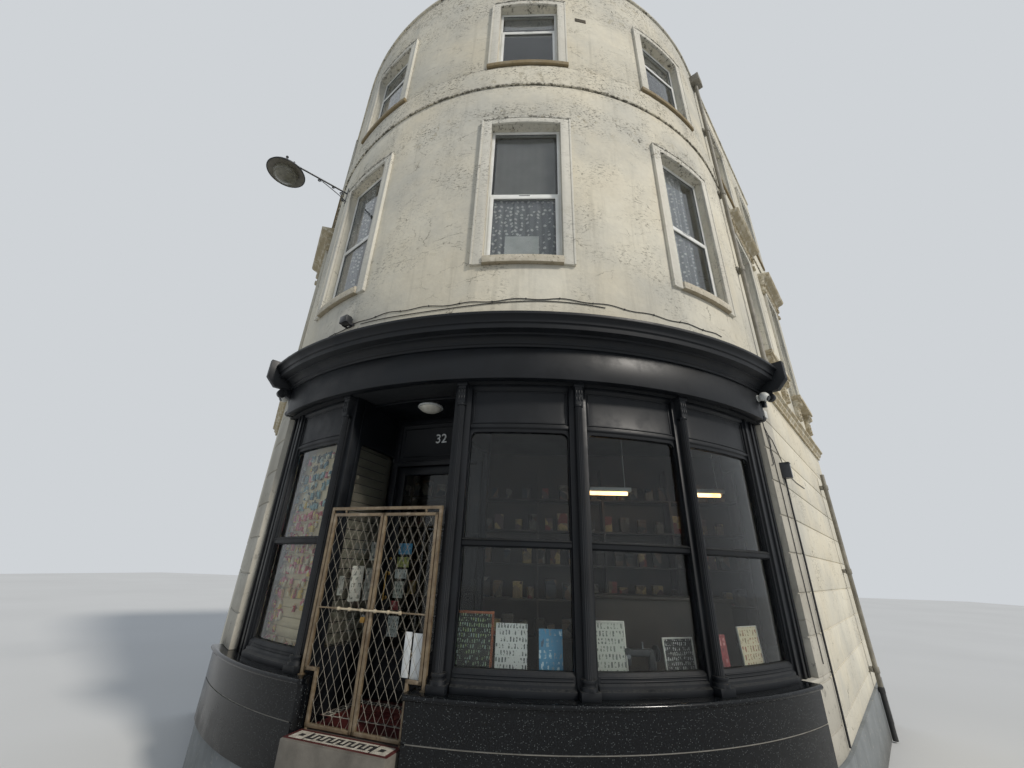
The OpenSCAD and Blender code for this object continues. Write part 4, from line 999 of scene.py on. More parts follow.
class CORNERSHOP_OT_upper_windows(bpy.types.Operator):
    """Dress the surrounds, sills, hoods, frames and glass of the upper windows"""
    bl_idname = "cornershop.upper_windows"
    bl_label = "Dress Upper Windows"

    def execute(self, context):
        settings = context.scene.corner_shop
        dressed("surrounds", "surround", settings.stone_edge * 0.7)
        dressed("sills", "sill_stone", settings.stone_edge * 0.6)
        dressed("hoods", "buff_stone", settings.stone_edge * 0.8)
        dressed("sill_tables", "buff_stone", settings.stone_edge * 0.6)
        dressed("sashes", "upvc", 0.003, joined=False)
        paint_node("upper_glass", "sash_glass")
        self.fillets()
        self.furniture()
        self.curtains()
        self.hood_carving()
        return {"FINISHED"}

    def windows(self):
        """Every upper window: its place on the wall, foot, height, middle rail, and if it is on the bow."""
        for height, tall, meet in ((WIN1_Z, WIN1_H, MEET1), (WIN2_Z, WIN2_H, MEET2)):
            for place in BOW_WINDOWS:
                yield place, height, tall, meet, True
            for place in FLANK_WINDOWS:
                yield place, height, tall, meet, False

    def fillets(self):
        """A narrow raised fillet round the outer edge of each surround."""
        bm = bmesh.new()
        outer = WIN_W / 2 + SURROUND_W
        for place, height, tall, _, bowed in self.windows():
            foot = height - (FOOT_H if height == WIN1_Z else -0.001)
            top = height + tall + HEAD_H
            back = RADIUS - math.sqrt(RADIUS ** 2 - outer ** 2) if bowed else 0.0
            turn = math.asin(outer / RADIUS) if bowed else 0.0
            for side in (-1, 1):
                edge = place @ shift(side * outer, back, 0) @ Matrix.Rotation(side * turn, 4, "Z")
                inner = -side * 0.026
                low, high = sorted((inner, 0))
                block(bm, edge, (low, -SURROUND_OUT - 0.009, foot), (high, -SURROUND_OUT + 0.004, top), 0.002)
            rings = []
            for i in range(17):
                x = -outer + 2 * outer * i / 16
                y = RADIUS - math.sqrt(RADIUS ** 2 - x * x) if bowed else 0.0
                rings.append([place @ Vector((x, y - SURROUND_OUT - o, z)) for o, z in
                              ((-0.004, top - 0.026), (0.009, top - 0.026), (0.009, top), (-0.004, top))])
            skin(bm, rings)
        finish(bm, "surround_fillets", "surround")

    def furniture(self):
        """Dark glazing gaskets and a vent slot in each middle rail."""
        dark = bmesh.new()
        half = WIN_W / 2 - 0.001 - SASH_W
        for place, height, tall, meet, _ in self.windows():
            base = height + SILL_T
            rail = base + meet
            block(dark, place, (-0.075, REVEAL - 0.004, rail - 0.006),
                  (0.075, REVEAL + 0.004, rail + 0.008), 0.002)
            gasket = 0.005
            inner = half - VENT_W
            upper = (-half, half, rail + RAIL_H / 2, base + tall - 0.046 - SASH_W, REVEAL + 0.014)
            lower = (-inner, inner, base + SASH_W + VENT_W, rail - RAIL_H / 2 - VENT_W, REVEAL + 0.004)
            for x1, x2, z1, z2, y in (upper, lower):
                for left, right, low, high in ((x1, x1 + gasket, z1, z2), (x2 - gasket, x2, z1, z2),
                                               (x1, x2, z1, z1 + gasket), (x1, x2, z2 - gasket, z2)):
                    block(dark, place, (left, y, low), (right, y + 0.006, high), 0.001, 1)
        finish(dark, "window_gaskets", "black_plastic")

    def curtains(self):
        """Nets, blinds and a card behind the glass, each window as the photograph shows it."""
        nets, blinds, cards = bmesh.new(), bmesh.new(), bmesh.new()
        first, second = WIN1_Z + SILL_T, WIN2_Z + SILL_T
        drop = 0.17
        foot, top = first + 0.05, first + WIN1_H - 0.1
        left, middle, right = BOW_WINDOWS
        self.hang(nets, middle, -0.43, 0.43, foot, first + MEET1 + 0.03, drop, 0.012)
        self.hang(blinds, middle, -0.43, 0.43, first + MEET1 - 0.02, top, drop + 0.03, 0.001)
        card(cards, middle, -0.24, 0.2, first + 0.09, first + 0.47, drop - 0.03)
        self.hang(nets, left, -0.43, 0.05, foot, top, drop, 0.014)
        self.hang(nets, right, -0.43, 0.16, foot, top, drop, 0.014)
        for place in FLANK_WINDOWS:
            self.hang(nets, place, -0.43, 0.43, foot, top, drop, 0.012)
        foot, top = second + WIN2_H - 0.42, second + WIN2_H - 0.1
        for place in BOW_WINDOWS + FLANK_WINDOWS:
            self.hang(blinds, place, -0.43, 0.43, foot, top, drop + 0.02, 0.001)
        finish(nets, "net_curtains", "net")
        finish(blinds, "roller_blinds", "blind")
        finish(cards, "window_card", "enamel")

    def hang(self, bm, place, x1, x2, z1, z2, y, wave):
        """A sheet that hangs behind a window, in folds as deep as wave."""
        count = 40
        rings = []
        for i in range(count + 1):
            x = x1 + (x2 - x1) * i / count
            deep = wave * math.sin(x * 62) + wave * 0.6 * math.sin(x * 27 + 1.3)
            foot, top = y + deep, y + deep * 0.7
            ring = ((foot, z1), (foot + 0.002, z1), (top + 0.002, z2), (top, z2))
            rings.append([place @ Vector((x, depth, z)) for depth, z in ring])
        skin(bm, rings)

    def hood_carving(self):
        """Carved leaves on the hoods' friezes and scrolls on their brackets, worn by the weather."""
        bm = bmesh.new()
        base = WIN1_Z + WIN1_H + HEAD_H
        for place in FLANK_WINDOWS:
            for i in range(9):
                x = -0.52 + i * 0.13
                for turn in (-0.5, 0.0, 0.5):
                    leaf = place @ shift(x, -0.062, base + 0.03) @ Matrix.Rotation(turn, 4, "Y")
                    bmesh.ops.create_icosphere(bm, subdivisions=2, radius=0.03,
                                               matrix=leaf @ shift(0, 0, 0.035)
                                               @ Matrix.Diagonal((0.5, 0.45, 1.3, 1)))
            for side in (-1, 1):
                x = side * (WIN_W / 2 + SURROUND_W + 0.06)
                for z, size in ((base + 0.04, 0.042), (base - 0.15, 0.032)):
                    roll = place @ shift(x, -0.062, z) @ TO_RIGHT
                    disc(bm, roll @ shift(0, 0, -0.056), size, 0, 0.112, 20)
            for side in (-1, 1):
                x = side * (WIN_W / 2 + SURROUND_W - 0.055)
                for out, z, size in ((0.105, 0.085, 0.048), (0.065, 0.4, 0.03)):
                    roll = place @ shift(x, -out, WIN1_Z - FOOT_H - z - 0.08)
                    roll = roll @ TO_RIGHT @ shift(0, 0, -0.072)
                    lathe(bm, roll, [(TIP, 0), (size * 0.4, 0.0), (size * 0.45, 0.006), (size, 0.006),
                                     (size, 0.138), (size * 0.45, 0.138), (size * 0.4, 0.144),
                                     (TIP, 0.144)], 24)
                for step in range(3):
                    leaf = place @ shift(x, -0.083, WIN1_Z - FOOT_H - 0.27 - step * 0.07)
                    for turn in (-0.6, 0.0, 0.6):
                        frond = leaf @ Matrix.Rotation(turn, 4, "Y") @ shift(0, 0, -0.02)
                        bmesh.ops.create_icosphere(bm, subdivisions=2, radius=0.028,
                                                   matrix=frond @ Matrix.Diagonal((0.5, 0.5, 1.3, 1)))
        finish(bm, "hood_carving", "buff_stone")


class CORNERSHOP_OT_plinth(bpy.types.Operator):
    """Dress the granite plinth, the threshold and the mosaic floor of the lobby"""
    bl_idname = "cornershop.plinth"
    bl_label = "Dress Plinth"

    def execute(self, context):
        dressed("plinths", "granite", 0.003)
        dressed("threshold", "step_stone", 0.01)
        dressed("lobby_floor", "mosaic_red", 0.002)
        bm = bmesh.new()
        face = PLINTH_OUT - 0.0095
        joint = [(face - 0.004, JOINT_Z - 0.0045), (face + 0.004, JOINT_Z - 0.0045),
                 (face + 0.004, JOINT_Z + 0.0045), (face - 0.004, JOINT_Z + 0.0045)]
        for start, end in ((-49.8, -22.8), (-8.6, 41.3)):
            run(bm, joint, along(start), along(end), 0.05)
        finish(bm, "plinth_joint", "joint")
        self.mosaic(context.scene.corner_shop)
        return {"FINISHED"}

    def mosaic(self, settings):
        """Lays the key-pattern strip on the threshold, the borders and the tiles of the lobby floor."""
        size = settings.tessera
        laid = {"white": [], "black": []}
        columns = int((2 * STEP_HALF - 0.07) / size)
        start = -0.5 * columns * size
        for row in range(STRIP_ROWS):
            for column in range(columns):
                laid[self.key(column, columns, row)].append((start + (column + 0.5) * size,
                                                             STRIP_V - row * size))
        half, near, far = LOBBY_HALF - 0.015, 4.10, LOBBY_BACK + 0.115
        rows = int((near - far) / size)
        columns = int(2 * half / size)
        for row in range(rows):
            for column in range(columns):
                rim = min(row, rows - 1 - row, column, columns - 1 - column)
                if rim < STRIP_ROWS - 2:
                    step = column if rim in (row, rows - 1 - row) else row
                    name = self.key_unit(step, rim - 1)
                    laid[name].append((-half + (column + 0.5) * size, near - (row + 0.5) * size))
        for name, places in laid.items():
            bm = bmesh.new()
            half = size * 0.45
            block(bm, HERE, (-half, -half, -0.001), (half, half, 0.0022), 0.0008, 1)
            points = [(ENTRANCE @ Vector((u, -v, FLOOR_Z + 0.0012)), (0, 0, DOOR_ANGLE)) for u, v in places]
            repeats("mosaic_" + name, points, bm, "mosaic_" + name, 0.12, 0.02, settings.seed)
        bm = bmesh.new()
        block(bm, ENTRANCE, (-STEP_HALF + 0.004, -STRIP_V - 0.032, FLOOR_Z - 0.002),
              (STEP_HALF - 0.004, -4.446, FLOOR_Z + 0.0016), 0.0005, 1)
        block(bm, ENTRANCE, (-STEP_HALF + 0.004, -4.412, FLOOR_Z - 0.002),
              (STEP_HALF - 0.004, -4.105, FLOOR_Z + 0.0012), 0.0005, 1)
        finish(bm, "threshold_border", "mosaic_red")
        bm = bmesh.new()
        block(bm, HERE, (-0.048, -0.048, -0.001), (0.048, 0.048, 0.004), 0.0015, 1)
        tiles = []
        for row in range(4):
            for column in range(10):
                u, v = -0.45 + column * 0.1, 3.72 + row * 0.1
                tiles.append((ENTRANCE @ Vector((u, -v, FLOOR_Z)), (0, 0, DOOR_ANGLE)))
        repeats("lobby_tiles", tiles, bm, "floor_tile", 0.015, 0.006, settings.seed)

    def key_unit(self, column, row):
        """The colour of one piece in the running key pattern, whose lines are two pieces wide."""
        if not 0 <= row < 2 * len(KEY_PATTERN):
            return "white"
        line = KEY_PATTERN[row // 2]
        return "black" if line[column // 2 % len(line)] == "x" else "white"

    def key(self, column, columns, row):
        """The colour of a piece of the strip: a square with a dark eye at each end, a key pattern between."""
        end = min(column, columns - 1 - column)
        if end < STRIP_ROWS:
            eye = min(end, STRIP_ROWS - 1 - end, row, STRIP_ROWS - 1 - row)
            return "black" if eye >= STRIP_ROWS // 2 - 2 or end == STRIP_ROWS - 1 else "white"
        return self.key_unit(column - STRIP_ROWS, row - 2)


class CORNERSHOP_OT_shopfront(bpy.types.Operator):
    """Dress the columns, windows, fascia, cornice, brackets and display of the shopfront"""
    bl_idname = "cornershop.shopfront"
    bl_label = "Dress Shopfront"

    def execute(self, context):
        settings = context.scene.corner_shop
        for node in ("columns", "end_posts", "shop_windows", "consoles", "fascia", "cornice"):
            dressed(node, BLACK, settings.edge)
        paint_node("shop_glass", "shop_glass")
        dressed("display_shelves", "shelf_board", 0.003)
        self.mouldings()
        self.scrolls()
        self.notices()
        self.sewing_machine(at(17.2, 4.2) @ shift(0, 0, CAP_Z + 0.08))
        self.left_window(settings)
        self.interior(settings)
        return {"FINISHED"}

    def mouldings(self):
        """Beads round the panels over and under the glass, and leaves on the columns' capitals."""
        bm = bmesh.new()
        lows = [END_DEG[0]] + list(COLUMN_DEG[1:])
        highs = [COLUMN_DEG[0]] + list(COLUMN_DEG[2:]) + [END_DEG[1]]
        for low, high in zip(lows, highs):
            start, end = along(low) + 0.115, along(high) - 0.115
            for z in (CAP_Z + 0.105, GLASS_LO - 0.035):
                bead(bm, start, end, FRONT_R - RADIUS + 0.022, z, 0.006)
            top = GLASS_HI + 0.1
            for z in (top, SOFFIT_Z - 0.075):
                bead(bm, start, end, FRONT_R - RADIUS + 0.001, z, 0.008)
            for degrees in (low + 1.55, high - 1.55):
                post(bm, degrees, FRONT_R - RADIUS - 0.002, FRONT_R - RADIUS + 0.007, 0.007, top,
                     SOFFIT_Z - 0.075, 0.003)
        finish(bm, "panel_beads", BLACK)
        bm = bmesh.new()
        for degrees in COLUMN_DEG:
            for z, size in ((SOFFIT_Z - 0.175, 0.9), (SOFFIT_Z - 0.1, 1.0)):
                for i in range(3):
                    leaf = at(degrees, RADIUS - 0.025) @ shift(-0.028 + 0.028 * i, -0.04, z)
                    bmesh.ops.create_icosphere(bm, subdivisions=2, radius=0.016 * size,
                                               matrix=leaf @ Matrix.Diagonal((0.75, 0.45, 2.0, 1)))
        finish(bm, "capital_leaves", BLACK)

    def scrolls(self):
        """A carved spiral on both faces of each bracket under the ends of the cornice."""
        paths = []
        for degrees in (-42.7, 43.7):
            for side in (-1, 1):
                for y, z, size in ((-0.205, SOFFIT_Z + 0.29, 0.05), (-0.06, SOFFIT_Z + 0.04, 0.032)):
                    paths.append(spiral(at(degrees), (side * 0.0365, y, z), size, 4.4, 36, 4))
        rods("console_scrolls", paths, 0.004, BLACK, 6, slot=BLACK)

    def notices(self):
        """The boards and cards in the shop windows, with plain blocks in place of words and pictures."""
        shown = ((-3.4, 0.178, 1.965, "chalk_board", "oak_frame", 0.022),
                 (1.2, 0.14, 1.88, "notice_pale", None, 0),
                 (5.9, 0.104, 1.846, "notice_blue", None, 0),
                 (13.2, 0.145, 1.92, "notice_grey", "pale_frame", 0.012),
                 (22.4, 0.165, 1.79, "notice_dark", "pale_frame", 0.012),
                 (29.75, 0.056, 1.8, "notice_red", None, 0),
                 (35.5, 0.17, 1.86, "notice_cream", "pale_frame", 0.008))
        for number, (degrees, half, top, face, rim, wide) in enumerate(shown):
            lean = at(degrees, 4.235) @ shift(0, 0, CAP_Z + 0.001) @ Matrix.Rotation(-0.07, 4, "X")
            tall = (top - CAP_Z) / math.cos(0.07)
            bm = bmesh.new()
            card(bm, lean, -half + wide * 0.6, half - wide * 0.6, wide * 0.6, tall - wide * 0.6)
            finish(bm, "notice_%d" % number, face)
            if rim:
                bm = bmesh.new()
                rise = tall - wide
                for x1, x2, z1, z2 in ((-half, half, 0, wide), (-half, half, rise, tall),
                                       (-half, -half + wide, wide, rise), (half - wide, half, wide, rise)):
                    block(bm, lean, (x1, -0.008, z1), (x2, 0.008, z2), 0.002)
                finish(bm, "notice_frame_%d" % number, rim)

    def sewing_machine(self, place):
        """An old black sewing machine on a wooden base, side on in the window."""
        bm = bmesh.new()
        block(bm, place, (-0.19, -0.075, -0.002), (0.19, 0.075, 0.024), 0.006)
        block(bm, place, (0.07, -0.03, 0.02), (0.13, 0.03, 0.21), 0.016, 4)
        block(bm, place, (-0.15, -0.022, 0.165), (0.11, 0.022, 0.225), 0.016, 4)
        block(bm, place, (-0.165, -0.025, 0.1), (-0.11, 0.025, 0.235), 0.01, 3)
        wheel = place @ shift(0.135, 0, 0.19) @ TO_RIGHT
        lathe(bm, wheel, [(TIP, 0), (0.02, 0), (0.022, 0.006), (0.05, 0.008), (0.062, 0.004), (0.066, 0.012),
                          (0.062, 0.022), (0.05, 0.018), (0.02, 0.022), (TIP, 0.022)], 32)
        finish(bm, "sewing_machine", "black_plastic")
        bm = bmesh.new()
        disc(bm, place @ shift(-0.138, 0, 0.03), 0.004, 0, 0.075, 12)
        lathe(bm, place @ shift(0.02, 0, 0.224),
              [(TIP, 0), (0.01, 0), (0.006, 0.01), (0.006, 0.045), (0.012, 0.05), (TIP, 0.055)], 16)
        block(bm, place, (-0.165, -0.03, 0.022), (-0.105, 0.03, 0.028), 0.002)
        lathe(bm, place @ shift(-0.138, -0.03, 0.17) @ TO_STREET,
              [(TIP, -0.004), (0.016, -0.004), (0.018, 0.003), (TIP, 0.006)], 20)
        finish(bm, "sewing_machine_fittings", "steel")
        bm = bmesh.new()
        block(bm, place, (-0.2, -0.1, -0.078), (0.2, 0.1, -0.003), 0.006)
        finish(bm, "sewing_machine_base", "oak_frame")

    def left_window(self, settings):
        """A display board with small goods in the left window, and a low slatted board under it."""
        bm = bmesh.new()
        start, end = along(-40.6), along(-27.6)
        run(bm, [(-0.3, 2.56), (-0.28, 2.56), (-0.28, 3.7), (-0.3, 3.7)], start, end, 0.06)
        finish(bm, "goods_board", "pale_board")
        bm = bmesh.new()
        z = CAP_Z + 0.004
        while z < 2.5:
            slat = [(-0.3, z), (-0.284, z), (-0.28, z + 0.006), (-0.28, z + 0.082), (-0.284, z + 0.088),
                    (-0.3, z + 0.088)]
            run(bm, slat, start, end, 0.06)
            z += 0.092
        finish(bm, "low_slatted_board", "pale_board")
        rng = random.Random(settings.seed)
        rows = {"bright_goods": [], "cool_goods": []}
        for level in range(18):
            for column in range(14):
                degrees = -40.2 + column * 0.94 + rng.uniform(-0.25, 0.25)
                z = 1.53 + level * 0.117 + rng.uniform(-0.02, 0.02)
                if 1.62 < z < 2.2 and column > 3 and rng.random() < 0.85:
                    continue
                if rng.random() < 0.85:
                    kind = "cool_goods" if z > 2.85 and rng.random() < 0.8 else "bright_goods"
                    rows[kind].append((at(degrees, 4.235) @ Vector((0, 0, z)), (0, 0, math.radians(degrees))))
        for name, points in rows.items():
            bm = bmesh.new()
            block(bm, HERE, (-0.03, -0.018, -0.05), (0.03, 0.012, 0.046), 0.006)
            block(bm, HERE, (-0.012, 0.0, 0.048), (0.012, 0.006, 0.07), 0.002, 1)
            repeats("left_window_" + name, points, bm, name, 0.4, 0.08, settings.seed)

    def interior(self, settings):
        """Dark shelves with plain goods at the back, a counter and two warm strip lights."""
        bm = bmesh.new()
        block(bm, HERE, (-2.6, -1.76, FLOOR_Z + 0.002), (3.2, -1.72, 4.05), 0.003)
        for z in SHELF_LEVELS:
            block(bm, HERE, (-2.6, -2.08, z - 0.025), (3.2, -1.75, z), 0.003)
        for i in range(7):
            x = -2.6 + i * 0.9667
            block(bm, HERE, (x - 0.015, -2.08, FLOOR_Z + 0.002), (x + 0.015, -1.75, 3.75), 0.003)
        block(bm, HERE, (0.95, -2.75, FLOOR_Z + 0.002), (2.6, -2.35, 2.03), 0.006)
        block(bm, HERE, (0.92, -2.78, 2.03), (2.63, -2.32, 2.07), 0.006)
        finish(bm, "shop_shelves", "interior_wood")
        rng = random.Random(settings.seed + 3)
        points = {"dull_goods": [], "warm_goods": []}
        for z in SHELF_LEVELS:
            x = -2.5
            while x < 3.1:
                kind = "warm_goods" if rng.random() < 0.3 else "dull_goods"
                place = Vector((x, -1.93 + rng.uniform(-0.04, 0.04), z + 0.001))
                points[kind].append((place, (0, 0, rng.uniform(-0.15, 0.15))))
                x += rng.uniform(0.15, 0.3)
        for name, places in points.items():
            bm = bmesh.new()
            block(bm, HERE, (-0.075, -0.07, 0), (0.075, 0.07, 0.25), 0.006)
            block(bm, HERE, (-0.078, -0.073, 0.19), (0.078, 0.073, 0.252), 0.004)
            repeats("shelf_" + name, places, bm, name, 0.45, 0.0, settings.seed)
        bm = bmesh.new()
        for x1, x2 in ((0.95, 1.55), (2.3, 2.8)):
            tube = shift(x1, -2.5, 3.32) @ TO_RIGHT
            long = x2 - x1
            lathe(bm, tube, [(TIP, 0), (0.022, 0.0), (0.024, 0.01), (0.024, long - 0.01), (0.022, long),
                             (TIP, long)], 16)
        finish(bm, "strip_lights", "warm_light")
        bm = bmesh.new()
        for x1, x2 in ((0.9, 1.6), (2.25, 2.85)):
            block(bm, HERE, (x1, -2.54, 3.346), (x2, -2.46, 3.4), 0.004)
            for x in (x1 + 0.08, x2 - 0.08):
                block(bm, HERE, (x - 0.004, -2.504, 3.39), (x + 0.004, -2.496, 4.68), 0.001, 1)
        finish(bm, "strip_light_bodies", "enamel")


class CORNERSHOP_OT_entrance(bpy.types.Operator):
    """Dress the lobby, the door frame and the shop door"""
    bl_idname = "cornershop.entrance"
    bl_label = "Dress Entrance"

    def execute(self, context):
        edge = context.scene.corner_shop.edge
        for node in ("lobby_screens", "lobby_ceiling", "door_frame"):
            dressed(node, BLACK, edge)
        dressed("shop_door", BLACK, edge, "door")
        dressed("slatwall", "slat_board", 0.001)
        paint_node("door_glass", "shop_glass")
        self.slat_grooves()
        self.light()
        self.door_furniture()
        self.joinery()
        self.papers()
        self.number()
        return {"FINISHED"}

    def slat_grooves(self):
        """The dark metal inserts in the grooves of the slatted board on the left side of the lobby."""
        bm = bmesh.new()
        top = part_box("slatwall")[1].z
        face = BOARD_FACE
        z = GLASS_LO
        while z < top - 0.01:
            block(bm, ENTRANCE, (face - 0.006, -SCREEN_V + 0.124, z + 0.0004),
                  (face - 0.0035, -LOBBY_BACK - 0.124, z + 0.0086), 0.0004, 1)
            z += 0.1
        finish(bm, "slat_inserts", "black_plastic")

    def light(self):
        """A round bulkhead light: a white rim and an opal bowl."""
        place = ENTRANCE @ shift(0.08, -3.95, 4.0897) @ Matrix.Rotation(math.pi, 4, "X")
        bm = bmesh.new()
        lathe(bm, place, [(TIP, 0), (0.148, 0), (0.15, 0.004), (0.15, 0.016), (0.146, 0.02), (0.132, 0.02),
                          (0.128, 0.016), (0.128, 0.006), (TIP, 0.006)], 48)
        finish(bm, "lobby_light_rim", "enamel")
        bm = bmesh.new()
        bowl = [(TIP, 0.0065), (0.1275, 0.0065), (0.1278, 0.02)]
        turns = [math.radians(a) for a in range(6, 90, 7)]
        bowl += [(0.127 * math.cos(t), 0.022 + 0.053 * math.sin(t)) for t in turns]
        bowl.append((TIP, 0.0755))
        lathe(bm, place, bowl, 48)
        finish(bm, "lobby_light_bowl", "light_plastic", ("lobby_light",))

    def door_furniture(self):
        """A turned pull handle on two roses, a lock and a letter plate."""
        bm = bmesh.new()
        x = -DOOR_HALF + 0.047
        y = -DOOR_V
        for z in (FLOOR_Z + 0.95, FLOOR_Z + 1.2):
            stalk = ENTRANCE @ shift(x, y + 0.05, z) @ TO_STREET
            lathe(bm, stalk, [(TIP, 0), (0.02, 0), (0.02, 0.004), (0.012, 0.008), (0.008, 0.014),
                              (0.008, 0.047), (TIP, 0.047)], 24)
        grip = [(TIP, 0), (0.009, 0.002), (0.0105, 0.008), (0.009, 0.014), (0.0075, 0.03), (0.0095, 0.09),
                (0.01, 0.155), (0.0095, 0.22), (0.0075, 0.28), (0.009, 0.296), (0.0105, 0.302),
                (0.009, 0.308), (TIP, 0.31)]
        lathe(bm, ENTRANCE @ shift(x, y + 0.005, FLOOR_Z + 0.92), grip, 24)
        finish(bm, "pull_handle", "brass", ("door_handle",), "door")
        bm = bmesh.new()
        lock = ENTRANCE @ shift(x, -DOOR_FACE_V, FLOOR_Z + 1.36) @ TO_STREET
        lathe(bm, lock, [(TIP, -0.002), (0.016, -0.002), (0.017, 0.002), (0.014, 0.005), (TIP, 0.005)], 24)
        block(bm, ENTRANCE, (-0.13, -DOOR_FACE_V - 0.004, FLOOR_Z + 0.405),
              (0.13, -DOOR_FACE_V + 0.002, FLOOR_Z + 0.45), 0.002)
        block(bm, ENTRANCE, (-0.11, -DOOR_FACE_V - 0.007, FLOOR_Z + 0.413),
              (0.11, -DOOR_FACE_V - 0.003, FLOOR_Z + 0.442), 0.002)
        finish(bm, "letter_plate", "brass", body="door")

    def joinery(self):
        """Bolection mouldings round the door's glass and panel, and round the panel over the door."""
        bm = bmesh.new()
        self.surround_bead(bm, -0.454, 0.454, FLOOR_Z + 0.46, 3.368, -DOOR_FACE_V)
        self.surround_bead(bm, -0.454, 0.454, FLOOR_Z + 0.11, FLOOR_Z + 0.37, -DOOR_FACE_V)
        finish(bm, "door_mouldings", BLACK, body="door")
        bm = bmesh.new()
        self.surround_bead(bm, -0.57, 0.57, DOOR_TOP + 0.073, SOFFIT_Z - 0.095, -DOOR_V)
        inner = 0.06
        self.surround_bead(bm, -0.57 + inner, 0.57 - inner, DOOR_TOP + 0.073 + inner, SOFFIT_Z - 0.155,
                           -DOOR_V + 0.025)
        finish(bm, "overdoor_mouldings", BLACK)

    def surround_bead(self, bm, x1, x2, z1, z2, y, size=0.012):
        """A raised bead round a rectangle on the face at depth y."""
        left, right, lap = x1 - size, x2 + size, 0.004
        for low_x, high_x, low, high in (
                (left, right, z1 - size, z1 + lap), (left, right, z2 - lap, z2 + size),
                (left, x1 + lap, z1, z2), (x2 - lap, right, z1, z2)):
            block(bm, ENTRANCE, (low_x, y - 0.009, low), (high_x, y + 0.003, high), 0.005, 3)

    def papers(self):
        """Cards and papers inside the door's glass and the left lobby light, all without words."""
        column = (("notice_blue", -0.42, -0.24, 2.44, 2.56), ("notice_yellow", -0.42, -0.26, 2.3, 2.41),
                  ("notice_pale", -0.43, -0.27, 2.18, 2.28), ("notice_grey", -0.42, -0.29, 1.98, 2.15),
                  ("notice_red", -0.43, -0.33, 1.86, 1.95), ("notice_pale", -0.44, -0.3, 1.6, 1.8))
        for number, (face, x1, x2, z1, z2) in enumerate(column):
            bm = bmesh.new()
            card(bm, ENTRANCE, x1, x2, z1, z2, -3.4723, 0.0015)
            finish(bm, "door_paper_%d" % number, face, body="door")
        screen = ENTRANCE @ shift(-LOBBY_HALF - 0.029, -3.6, 0) @ Matrix.Rotation(math.pi / 2, 4, "Z")
        papers = ((-0.02, 0.19, 1.95, 2.28), (-0.26, -0.06, 1.95, 2.3), (0.0, 0.15, 2.36, 2.56),
                  (-0.44, -0.36, 2.02, 2.2))
        for number, (x1, x2, z1, z2) in enumerate(papers):
            bm = bmesh.new()
            card(bm, screen, x1 - 0.1, x2 - 0.1, z1, z2, 0.0, 0.0015)
            finish(bm, "screen_paper_%d" % number, "notice_grey")

    def number(self):
        """The plain house number, in pale metal on the panel over the door."""
        text = bpy.data.curves.new("house_number", "FONT")
        text.body = "32"
        text.size = 0.165
        text.extrude = 0.004
        text.bevel_depth = 0.0008
        text.resolution_u = 4
        text.align_x = "CENTER"
        carrier = new_object("house_number_carrier", text)
        bpy.context.view_layer.update()
        mesh = bpy.data.meshes.new_from_object(carrier.evaluated_get(bpy.context.evaluated_depsgraph_get()))
        bpy.data.objects.remove(carrier)
        bm = bmesh.new()
        bm.from_mesh(mesh)
        bpy.data.meshes.remove(mesh)
        bm.transform(ENTRANCE @ shift(0.03, -DOOR_V + 0.02, 3.76) @ TO_STREET)
        finish(bm, "house_number", "enamel")


